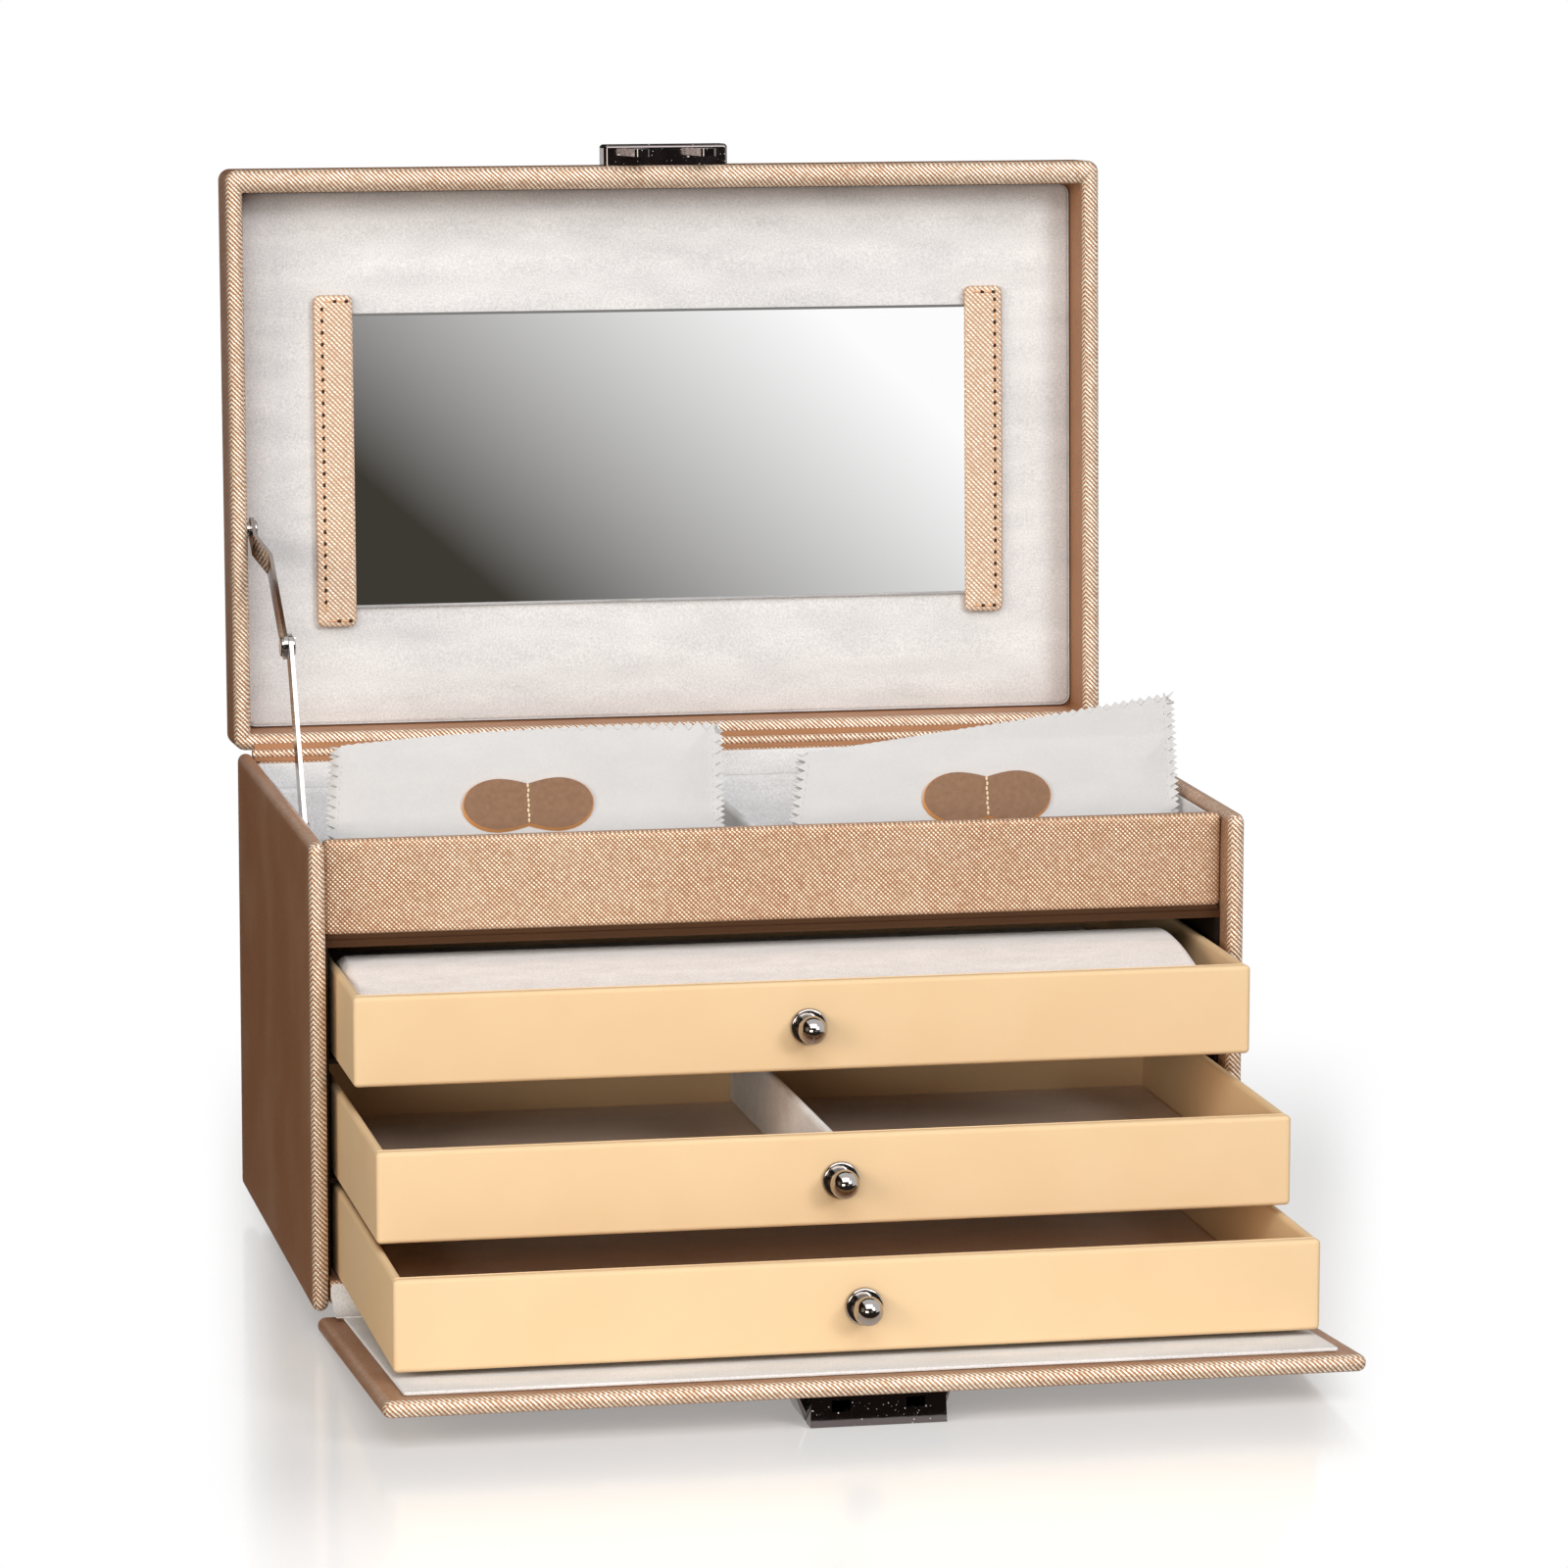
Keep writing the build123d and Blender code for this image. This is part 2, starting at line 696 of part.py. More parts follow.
def drawer_front():
    """A drawer's front board, with softened edges and the hole for the knob's screw."""
    front = block(span(0, drawer_width), (0, drawer_front_thickness), (0, drawer_height))
    front = fillet(front.edges().group_by(Axis.Y)[0], drawer_lip_radius)
    hole = Pos(0, 0, drawer_height / 2) * Rot(90, 0, 0) * Cylinder(knob_screw_radius, through_cut)
    return front - hole


def drawer_card(thickness, radius):
    """The suede-covered pad on a drawer's floor, cut clear of the knob's screw."""
    half = drawer_width / 2 - drawer_wall - drawer_card_gap
    y = (drawer_front_thickness + drawer_card_gap, drawer_length - drawer_wall - drawer_card_gap)
    card = block((-half, half), y, (drawer_floor, drawer_floor + thickness))
    card = fillet(card.edges().group_by(Axis.Z)[-1], radius)
    room = (0, drawer_front_thickness + knob_screw_head_height + knob_screw_recess)
    clear = knob_screw_head_radius + knob_screw_recess
    return card - block((-clear, clear), room, (drawer_height / 2 - clear, drawer_height))


def drawer_divider(card):
    """The suede-covered board that parts the middle drawer in two."""
    y = (drawer_front_thickness, drawer_length - drawer_wall)
    low = drawer_floor + card
    board = block(span(0, drawer_divider_thickness), y, (low, drawer_height - drawer_divider_drop))
    board = fillet(edges_at(board, drawer_height - drawer_divider_drop, Axis.Y), drawer_divider_radius)
    room = (0, drawer_front_thickness + knob_screw_head_height + knob_screw_recess)
    clear = knob_screw_head_radius + knob_screw_recess
    return board - block((-clear, clear), room, span(drawer_height / 2, clear * 2))


def knob():
    """A ball knob on a round base, turned in one piece, with a blind hole for its screw."""
    neck_end = knob_base_thickness + knob_neck_length
    ball_middle = neck_end + sqrt(knob_ball_radius**2 - knob_neck_radius**2)
    top = (0, ball_middle + knob_ball_radius)
    neck = (knob_neck_radius, neck_end)
    outline = Polyline(
        top,
        (0, 0),
        (knob_base_radius, 0),
        (knob_base_radius, knob_base_thickness - knob_base_bevel),
        (knob_base_radius - knob_base_bevel, knob_base_thickness),
        (knob_neck_radius, knob_base_thickness),
        neck,
    )
    outline += ThreePointArc(neck, (knob_ball_radius, ball_middle), top)
    turned = revolve(make_face(outline), Axis.Y)
    depth = knob_screw_bite + knob_screw_gap
    bore = Pos(0, depth / 2, 0) * Rot(90, 0, 0) * Cylinder(knob_screw_radius + knob_screw_gap, depth)
    return Pos(0, 0, drawer_height / 2) * Rot(0, 0, 180) * (turned - bore)


def knob_screw():
    """The screw that holds a knob, its head inside the drawer."""
    shank_length = knob_screw_bite + drawer_front_thickness
    shank = Rot(90, 0, 0) * Cylinder(knob_screw_radius, shank_length)
    shank = Pos(0, shank_length / 2 - knob_screw_bite, 0) * shank
    head_middle = drawer_front_thickness + knob_screw_head_height / 2
    head = Rot(90, 0, 0) * Cylinder(knob_screw_head_radius, knob_screw_head_height)
    return Pos(0, 0, drawer_height / 2) * (shank + Pos(0, head_middle, 0) * head)


def drawers():
    """All drawer pieces by node name, each drawer at its step and on its shelf."""
    pad_thickness = drawer_height - ring_pad_depth - drawer_floor
    rows = (
        (top_drawer_reach, upper_shelf_top, pad_thickness, ring_pad_radius),
        (middle_drawer_reach, lower_shelf_top, drawer_card_thickness, drawer_card_thickness / 2),
        (bottom_drawer_reach, base_top, drawer_card_thickness, drawer_card_thickness / 2),
    )
    pieces = {}
    for number, (reach, shelf, thickness, radius) in enumerate(rows, start=1):
        place = Pos(0, -reach, shelf + seat_gap)
        pieces[f"drawer_{number}_box"] = place * drawer_box()
        pieces[f"drawer_{number}_front"] = place * drawer_front()
        pieces[f"drawer_{number}_lining"] = place * drawer_card(thickness, radius)
        pieces[f"drawer_{number}_knob"] = place * knob()
        pieces[f"drawer_{number}_screw"] = place * knob_screw()
    middle = Pos(0, -middle_drawer_reach, lower_shelf_top + seat_gap)
    pieces["drawer_2_divider"] = middle * drawer_divider(drawer_card_thickness)
    return pieces


def pouch(corners):
    """A flat padded pouch through four corners in its own frame, its patched face up."""
    outline = Pos(0, 0, -pouch_thickness) * make_face(Polyline(corners, close=True))
    cushion = extrude(outline, pouch_thickness, dir=(0, 0, 1))
    return fillet(cushion.edges(), pouch_edge_radius)


def patch(middle):
    """A leather patch of two round lobes joined by a waist, on the pouch's face."""
    reach = (patch_width - patch_lobe_width) / 2
    outline = Rectangle(patch_waist_width, patch_waist)
    for side in (-1, 1):
        outline += Pos(side * reach, 0) * Ellipse(patch_lobe_width / 2, patch_lobe_height / 2)
    return Pos(*middle, 0) * extrude(outline, patch_thickness)


def pouches():
    """The pouches and their patches by node name, standing just above the compartment's floor."""
    middle = divider_offset
    divider_half = divider_thickness / 2
    left_ends = (left_pouch_side_gap - lining_inner_half, middle - divider_half - left_pouch_divider_gap)
    right_ends = (middle + divider_half + right_pouch_divider_gap, lining_inner_half - right_pouch_side_gap)
    left_heights = (left_pouch_left_height, left_pouch_right_height)
    right_heights = (right_pouch_left_height, right_pouch_right_height)
    left_tapers = (left_pouch_left_taper, left_pouch_right_taper)
    right_tapers = (right_pouch_left_taper, right_pouch_right_taper)
    rows = (
        ("left", left_ends, left_heights, left_tapers, left_patch_up_share),
        ("right", right_ends, right_heights, right_tapers, right_patch_up_share),
    )
    pieces = {}
    for name, ends, heights, tapers, up_share in rows:
        width = ends[1] - ends[0]
        place = Pos(ends[0], pouch_toe, lining_floor) * Rot(pouch_lean_angle, 0, 0)
        top = [(width - tapers[1], heights[1]), (tapers[0], heights[0])]
        cushion = place * pouch([(0, 0), (width, 0), *top])
        lift = Pos(0, 0, lining_floor + seat_gap - cushion.bounding_box().min.Z)
        patch_middle = (width * patch_across_share, sum(heights) / 2 * up_share)
        pieces[f"pouch_{name}"] = lift * cushion
        pieces[f"pouch_{name}_patch"] = lift * place * patch(patch_middle)
    return pieces


def case_pieces():
    """Every piece of the fixed case by node name."""
    return {
        "left_side_panel": left_side_panel(),
        "right_side_panel": side_panel(1),
        "back_panel": back_panel(),
        "base_board": base_board(),
        "base_front_lining": base_front_lining(),
        "feet": feet(),
        "front_rail": front_rail(),
        "left_bay_wall": bay_wall(-1),
        "right_bay_wall": bay_wall(1),
        "lower_shelf": bay_shelf(lower_shelf_top),
        "upper_shelf": bay_shelf(upper_shelf_top),
        "compartment_board": compartment_board(),
        "compartment_lining": compartment_lining(),
        "rear_pad": rear_pad(),
        "compartment_divider": compartment_divider(),
        "lid_hinge_strip": lid_hinge_strip(),
        "flap_hinge_strip": flap_hinge_strip(),
        "stay_case_rivet": stay_case_rivet(),
    }


def lid_pieces():
    """Every piece of the lid and the stay by node name."""
    place = lid_place()
    knuckle = stay_knuckle()
    pieces = {
        "lid_shell": lid_shell(),
        "lid_lining": lid_lining(),
        "lid_hinge_leaf": lid_hinge_leaf(),
        "mirror": mirror(),
        "left_mirror_tab": mirror_tab(-1),
        "right_mirror_tab": mirror_tab(1),
        "lid_hasp": lid_hasp(),
        "stay_lid_rivet": stay_lid_rivet(),
    }
    pieces = {name: place * piece for name, piece in pieces.items()}
    pieces["stay_upper_link"] = stay_upper_link()
    pieces["stay_lower_link"] = stay_lower_link()
    pieces["stay_upper_rivet"] = rivet(knuckle, (upper_link_x, upper_link_x + link_thickness), -1)
    pieces["stay_lower_rivet"] = rivet(knuckle, (lower_link_x, case_link_end), 1)
    return pieces


def flap_pieces():
    """Every piece of the drop front and its lock by node name."""
    place = flap_place()
    pieces = {
        "flap_board": flap_board(),
        "flap_lining": flap_lining(),
        "lock_case": lock_case(),
        "lock_plug": lock_plug(),
        "lock_bolt": lock_bolt(),
    }
    pieces = {name: place * piece for name, piece in pieces.items()}
    pieces["lock_pins"] = [place * pin for pin in lock_pins()]
    return pieces


def main():
    """Build every piece, move the whole onto its origin and write one file per node."""
    pieces = {**case_pieces(), **lid_pieces(), **flap_pieces(), **drawers(), **pouches()}
    groups = {name: piece if isinstance(piece, list) else [piece] for name, piece in pieces.items()}
    boxes = [solid.bounding_box() for group in groups.values() for solid in group]
    middle = (min(box.min.Y for box in boxes) + max(box.max.Y for box in boxes)) / 2
    print(f"The origin lies {middle:.3f} behind the front of the side panels")
    os.makedirs("parts", exist_ok=True)
    for name, group in groups.items():
        moved = [Pos(0, -middle, 0) * solid for solid in group]
        shape = moved[0] if len(moved) == 1 else Compound(moved)
        export_step(shape, f"parts/{name}.step")


if __name__ == "__main__":
    main()
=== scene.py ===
"""The looks of an open jewelry case: pearl leather, suede, paper-wrapped drawers and bright fittings.

Lengths are in metres. X runs to the right, Y to the back, Z up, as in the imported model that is
loaded first. Every piece is a surface worked out with numpy: an outline carried along a profile, a
grid of two shares, or a profile turned round an axis. Each sub-assembly is a class that builds and
dresses its own pieces, and each finish is a small class that makes its own material.
"""
import json
import logging
from dataclasses import dataclass
from enum import Enum
from math import asin, atan2, cos, degrees, pi, radians, sin
from typing import Callable

import bpy
import numpy as np
from mathutils import Matrix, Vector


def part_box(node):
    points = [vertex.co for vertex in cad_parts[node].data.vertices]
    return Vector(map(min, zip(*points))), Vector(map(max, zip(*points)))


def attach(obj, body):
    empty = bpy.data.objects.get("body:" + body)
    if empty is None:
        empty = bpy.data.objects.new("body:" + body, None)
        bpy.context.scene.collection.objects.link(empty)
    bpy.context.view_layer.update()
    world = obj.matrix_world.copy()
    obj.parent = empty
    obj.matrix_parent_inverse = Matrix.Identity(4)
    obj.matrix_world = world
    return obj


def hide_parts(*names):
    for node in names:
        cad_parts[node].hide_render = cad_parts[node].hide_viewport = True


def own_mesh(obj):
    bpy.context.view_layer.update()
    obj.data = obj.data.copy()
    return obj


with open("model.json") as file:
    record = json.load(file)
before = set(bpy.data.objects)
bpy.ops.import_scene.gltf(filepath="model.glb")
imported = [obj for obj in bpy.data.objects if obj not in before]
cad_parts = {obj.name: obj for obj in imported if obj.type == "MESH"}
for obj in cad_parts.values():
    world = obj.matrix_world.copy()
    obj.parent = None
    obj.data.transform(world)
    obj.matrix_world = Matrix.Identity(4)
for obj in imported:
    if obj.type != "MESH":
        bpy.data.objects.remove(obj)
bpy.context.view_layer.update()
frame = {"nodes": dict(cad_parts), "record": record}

LOG = logging.getLogger("jewelry_case")
MM = 0.001
CAP_REACH = 0.9
WHITE = (1, 1, 1, 1)
Colour = tuple[float, float, float]
Spot = tuple[float, float, float]
Socket = bpy.types.NodeSocket
Value = bpy.types.NodeSocket | float


def paint(red: int, green: int, blue: int) -> Colour:
    """Turn a colour as seen on screen into the linear one that a shader takes.

    Each part p of 255 becomes ((p / 255 + 0.055) / 1.055) ** 2.4, or p / 255 / 12.92 when dark.

    Args:
        red: Red, from 0 to 255.
        green: Green, from 0 to 255.
        blue: Blue, from 0 to 255.

    Returns:
        The linear red, green and blue.
    """
    share = np.array([red, green, blue]) / 255
    linear = np.where(share <= 0.04045, share / 12.92, ((share + 0.055) / 1.055) ** 2.4)
    return tuple(float(part) for part in linear)


class Facing(Enum):
    """Which way the broad face of a board looks, as the axes that its own x, y and z lie along."""

    RIGHT = ((0, 1, 0), (0, 0, 1), (1, 0, 0))
    FRONT = ((1, 0, 0), (0, 0, 1), (0, -1, 0))
    UP = ((1, 0, 0), (0, 1, 0), (0, 0, 1))


class Side(Enum):
    """The two sides of the case."""

    LEFT = -1
    RIGHT = 1


@dataclass(frozen=True)
class Place:
    """A frame in the room: an origin, and the directions of its own x, y and z as rows."""

    origin: Spot
    axes: tuple = Facing.UP.value

    def lay(self, points: np.ndarray) -> np.ndarray:
        """Carry points into the room: origin + x * first axis + y * second + z * third."""
        return np.asarray(self.origin) + points @ np.asarray(self.axes, float)

    @staticmethod
    def tilted(origin: Spot, angle: float) -> "Place":
        """Build a frame turned about X.

        Its y is (0, cos a, sin a) and its z is (0, -sin a, cos a).

        Args:
            origin: Where the frame's zero lies.
            angle: The turn in degrees, from +Y towards +Z.

        Returns:
            The frame.
        """
        turn = radians(angle)
        rows = ((1, 0, 0), (0, cos(turn), sin(turn)), (0, -sin(turn), cos(turn)))
        return Place(tuple(origin), rows)


@dataclass
class Surface:
    """Points with the faces that join them, and one finish number for each face."""

    points: np.ndarray
    faces: list
    finish: np.ndarray

    @staticmethod
    def grid(points: np.ndarray, around: bool = True, capped: bool = True) -> "Surface":
        """Join a grid of points by four-cornered faces.

        Face (j, k) has the corners (j, k), (j, k+1), (j+1, k+1) and (j+1, k).

        Args:
            points: Rows by columns by 3.
            around: Whether the last column joins the first.
            capped: Whether the first and last rows are closed, each by one face.

        Returns:
            The surface, whose faces look outwards when the columns run anticlockwise about +z
            and the rows go up the outside.
        """
        rows, columns = points.shape[:2]
        j = np.arange(rows - 1)[:, None] * columns
        k = np.arange(columns if around else columns - 1)[None, :]
        after = (k + 1) % columns
        corners = [j + k, j + after, j + columns + after, j + columns + k]
        faces = np.stack(corners, -1).reshape(-1, 4).tolist()
        if capped:
            ring = np.arange(columns)
            faces += [ring[::-1].tolist(), (ring + (rows - 1) * columns).tolist()]
        return Surface(points.reshape(-1, 3), faces, np.zeros(len(faces), int))

    def laid(self, place: Place) -> "Surface":
        """Return the surface carried into the room by a frame."""
        return Surface(place.lay(self.points), self.faces, self.finish)

    def moved(self, shift: Spot) -> "Surface":
        """Return the surface moved by a shift."""
        return Surface(self.points + shift, self.faces, self.finish)

    def repeated(self, places: np.ndarray, axes: np.ndarray) -> "Surface":
        """Copy the surface to many places at once.

        Copy n of point p is places[n] + p @ axes[n].

        Args:
            places: N by 3 origins.
            axes: N by 3 by 3, the directions of each copy's x, y and z as rows.

        Returns:
            All the copies as one surface.
        """
        points = places[:, None, :] + np.einsum("pi,nij->npj", self.points, axes)
        shift = np.arange(len(places)) * len(self.points)
        steps = shift.tolist()
        faces = [[corner + step for corner in face] for step in steps for face in self.faces]
        return Surface(points.reshape(-1, 3), faces, np.tile(self.finish, len(places)))

    @staticmethod
    def joined(*parts: "Surface") -> "Surface":
        """Join several surfaces.

        Args:
            *parts: The surfaces.

        Returns:
            All of them as one, with their finish numbers kept.
        """
        shift = np.cumsum([0] + [len(part.points) for part in parts[:-1]]).tolist()
        pairs = zip(parts, shift)
        faces = [[corner + step for corner in face] for part, step in pairs for face in part.faces]
        points = np.concatenate([part.points for part in parts])
        return Surface(points, faces, np.concatenate([part.finish for part in parts]))


def rounded_outline(
    half: tuple[float, float], radius: float, inset: np.ndarray, steps: int = 6
) -> np.ndarray:
    """Work out a rectangle with round corners, drawn in by several insets.

    A corner's points are centre + r (cos a, sin a), with a over a quarter turn, r = max(R - d, R / 8)
    and the centre at (half x - d - r, half y - d - r).

    Args:
        half: Half the width and half the height.
        radius: The corner radius R of the outermost outline.
        inset: The insets d, J of them.
        steps: Faces in one corner.

    Returns:
        J by 4 * (steps + 1) by 2 points, anticlockwise.
    """
    drawn = np.asarray(inset, float)[:, None, None]
    turn = np.linspace(0, pi / 2, steps + 1)[None, None, :] + np.arange(4)[None, :, None] * pi / 2
    corner = np.maximum(radius - drawn, radius / 8)
    sign_x = np.array([1, -1, -1, 1])[None, :, None]
    sign_y = np.array([1, 1, -1, -1])[None, :, None]
    x = sign_x * np.maximum(half[0] - drawn - corner, 0) + corner * np.cos(turn)
    y = sign_y * np.maximum(half[1] - drawn - corner, 0) + corner * np.sin(turn)
    return np.stack([x, y], -1).reshape(len(drawn), -1, 2)


def arc(
    centre: tuple[float, float], radius: float, start: float, end: float, steps: int = 6
) -> np.ndarray:
    """Work out an arc of a profile: centre + r (cos a, sin a), with a from start to end.

    Args:
        centre: The arc's middle.
        radius: Its radius r.
        start: The first angle in degrees.
        end: The last angle in degrees.
        steps: Faces along the arc.

    Returns:
        steps + 1 points.
    """
    turn = np.radians(np.linspace(start, end, steps + 1))[:, None]
    return np.asarray(centre) + radius * np.concatenate([np.cos(turn), np.sin(turn)], 1)


def carried(
    half: tuple[float, float],
    radius: float,
    profile: np.ndarray,
    steps: int = 6,
    extra: np.ndarray | float = 0.0,
) -> Surface:
    """Carry a profile of (inset, height) round a rounded rectangle.

    Point (j, k) is outline k at inset j, lifted to height j. An extra inset e at the +y end moves y
    to y - e (1 + y / half y) / 2.

    Args:
        half: Half the rectangle's width and height.
        radius: Its corner radius.
        profile: J points (inset, height), up the outside and in over the top.
        steps: Faces in one corner.
        extra: J further insets at the +y end.

    Returns:
        The closed surface.
    """
    flat = rounded_outline(half, radius, profile[:, 0], steps)
    further = np.broadcast_to(extra, len(profile))[:, None]
    flat[..., 1] -= further * (1 + flat[..., 1] / half[1]) / 2
    height = np.broadcast_to(profile[:, 1][:, None, None], flat.shape[:2] + (1,))
    return Surface.grid(np.concatenate([flat, height], -1))


def turned(profile: np.ndarray, columns: int = 40) -> Surface:
    """Turn a profile of (radius, height) round z: (r cos a, r sin a, h).

    Args:
        profile: The profile, up the outside.
        columns: Faces in one turn.

    Returns:
        The closed surface.
    """
    turn = np.linspace(0, 2 * pi, columns, endpoint=False)
    ring = np.stack([np.cos(turn), np.sin(turn)], -1)
    flat = profile[:, 0][:, None, None] * ring[None]
    height = np.broadcast_to(profile[:, 1][:, None, None], flat.shape[:2] + (1,))
    return Surface.grid(np.concatenate([flat, height], -1))


@dataclass(frozen=True)
class Cushioning:
    """How the face of a covered board falls away towards its edge.

    The face lies at h(d) = top - drop * exp(-d / fall), with d measured from the round edge inwards.
    """

    edge: float = 2.3 * MM
    corner: float = 5.0 * MM
    drop: float = 0.35 * MM
    fall: float = 5.0 * MM
    rings: int = 7

    def profile(self, depth: float, extent: float) -> np.ndarray:
        """Work out the profile of a board covered on both faces.

        Args:
            depth: The board's thickness at its middle.
            extent: Half of its shorter side.

        Returns:
            Points (inset, height), from the middle of the lower face round to the upper one's.
        """
        reach = np.linspace(0, 1, self.rings) ** 2 * (extent * 0.96 - self.edge)
        face = depth / 2 - self.drop * np.exp(-reach / self.fall)
        top = np.stack([self.edge + reach, face], -1)
        round_top = arc((self.edge, face[0] - self.edge), self.edge, 180, 90)[:-1]
        upper = np.concatenate([round_top, top])
        lower = upper[::-1] * (1, -1)
        return np.concatenate([lower, upper])


def padded_board(size: tuple[float, float, float], cushion: Cushioning) -> Surface:
    """Build a covered board about its own middle.

    Args:
        size: Its width, height and thickness.
        cushion: How its faces and edges are rounded.

    Returns:
        The board, with its thickness along z.
    """
    half = (size[0] / 2, size[1] / 2)
    return carried(half, cushion.corner, cushion.profile(size[2], min(half)))


def edged(board: Surface, cushion: Cushioning) -> Surface:
    """Give a covered board's rounded edges finish 1.

    The board's profile has rings points on each face, and six more round each of its two edges.

    Args:
        board: The board, as padded_board builds it.
        cushion: The cushioning it was built with.

    Returns:
        The same board.
    """
    rows = 2 * (cushion.rings + 6)
    around = len(board.points) // rows
    board.finish[(cushion.rings - 1) * around : (rows - cushion.rings) * around] = 1
    return board


def stitch_row(points: np.ndarray, along: np.ndarray | Spot, length: float, radius: float) -> Surface:
    """Lay a row of stitches, each a slim closed pod: radius r sin(a) ^ 0.6 at height -l/2 cos(a).

    Args:
        points: N by 3 middles.
        along: The unit directions of the thread, N by 3, or one for all, across z.
        length: The length l of one stitch.
        radius: Its radius r.

    Returns:
        All the stitches as one surface.
    """
    turn = np.linspace(0.12, pi - 0.12, 7)
    pod = turned(np.stack([radius * np.sin(turn) ** 0.6, -length / 2 * np.cos(turn)], -1), 8)
    along = np.broadcast_to(along, points.shape)
    up = np.broadcast_to((0.0, 0.0, 1.0), points.shape)
    return pod.repeated(points, np.stack([np.cross(up, along), up, along], 1))


class Wiring:
    """A node tree while its nodes are being put in and joined."""

    def __init__(self, tree: bpy.types.NodeTree) -> None:
        """Take the tree to work on."""
        self.tree = tree

    @classmethod
    def fresh(cls, owner: bpy.types.Material | bpy.types.World) -> "Wiring":
        """Empty the tree of a material or world and start to wire it."""
        owner.use_nodes = True
        owner.node_tree.nodes.clear()
        return cls(owner.node_tree)

    def put(self, kind: str, feeds: dict | None = None, **settings: object) -> bpy.types.Node:
        """Add a node.

        Args:
            kind: The node's type name.
            feeds: Its inputs by name or number, each a plain value or another node's socket.
            **settings: The node's own options.

        Returns:
            The node.
        """
        node = self.tree.nodes.new(kind)
        for name, value in settings.items():
            setattr(node, name, value)
        for key, value in (feeds or {}).items():
            if isinstance(value, Socket):
                self.tree.links.new(value, node.inputs[key])
            else:
                node.inputs[key].default_value = value
        return node

    def group(self, tree: bpy.types.NodeTree, **given: float) -> bpy.types.NodeOutputs:
        """Place a shared group with its own values and give its outputs."""
        return self.put("ShaderNodeGroup", given, node_tree=tree).outputs

    def shader(self, kind: str, feeds: dict | None = None) -> Socket:
        """Put in a shader and give its socket."""
        return self.put(f"ShaderNode{kind}", feeds).outputs[0]

    def math(self, operation: str, *values: Value, clamp: bool = False) -> Socket:
        """Work out one sum, product or other function of one to three values."""
        feeds = dict(enumerate(values))
        return self.put("ShaderNodeMath", feeds, operation=operation, use_clamp=clamp).outputs[0]

    def vector(self, operation: str, *values: Socket | Spot) -> bpy.types.NodeOutputs:
        """Work out one sum, product or other function of one or two vectors."""
        return self.put("ShaderNodeVectorMath", dict(enumerate(values)), operation=operation).outputs

    def split(self, vector: Socket) -> bpy.types.NodeOutputs:
        """Give a vector's x, y and z."""
        return self.put("ShaderNodeSeparateXYZ", {0: vector}).outputs

    def blend(self, share: Value, low: Socket | Colour, high: Socket | Colour) -> Socket:
        """Mix two colours by a share from 0 to 1."""
        low, high = ((*part, 1) if isinstance(part, tuple) else part for part in (low, high))
        return self.put("ShaderNodeMix", {0: share, 6: low, 7: high}, data_type="RGBA").outputs[2]

    def ramp(
        self,
        value: Socket,
        start: float,
        end: float,
        low: float = 0.0,
        high: float = 1.0,
        smooth: bool = False,
    ) -> Socket:
        """Carry a value from start..end to low..high, held at both ends.

        Args:
            value: The value.
            start: Where it gives low.
            end: Where it gives high.
            low: The first result.
            high: The last result.
            smooth: Whether the way between is a smooth step, not a straight line.

        Returns:
            The result's socket.
        """
        feeds = {"Value": value, "From Min": start, "From Max": end, "To Min": low, "To Max": high}
        kind = "SMOOTHSTEP" if smooth else "LINEAR"
        return self.put("ShaderNodeMapRange", feeds, interpolation_type=kind).outputs[0]

    def noise(self, place: Socket, scale: Value, detail: float = 2.0) -> Socket:
        """Work out a soft noise from 0 to 1 about one value, at so many waves a metre."""
        feeds = {"Vector": place, "Scale": scale, "Detail": detail}
        return self.put("ShaderNodeTexNoise", feeds).outputs["Fac"]

    def spot(self) -> Socket:
        """Give the place on the object, in its own metres."""
        return self.put("ShaderNodeTexCoord").outputs["Object"]


def shared_group(
    name: str, inputs: dict[str, float], outputs: tuple[str, ...], fill: Callable
) -> bpy.types.NodeTree:
    """Build a node group once and give it back on every later call.

    Args:
        name: The group's name.
        inputs: Its inputs and their usual values.
        outputs: The names of its outputs, all plain values.
        fill: A function of the wiring and the inputs that returns one socket for each output.

    Returns:
        The group.
    """
    if name in bpy.data.node_groups:
        return bpy.data.node_groups[name]
    tree = bpy.data.node_groups.new(name, "ShaderNodeTree")
    for label, value in inputs.items():
        socket = tree.interface.new_socket(name=label, in_out="INPUT", socket_type="NodeSocketFloat")
        socket.default_value = value
    for label in outputs:
        tree.interface.new_socket(name=label, in_out="OUTPUT", socket_type="NodeSocketFloat")
    wiring = Wiring(tree)
    given = tree.nodes.new("NodeGroupInput").outputs
    results = fill(wiring, given)
    wiring.put("NodeGroupOutput", dict(zip(outputs, results)))
    return tree


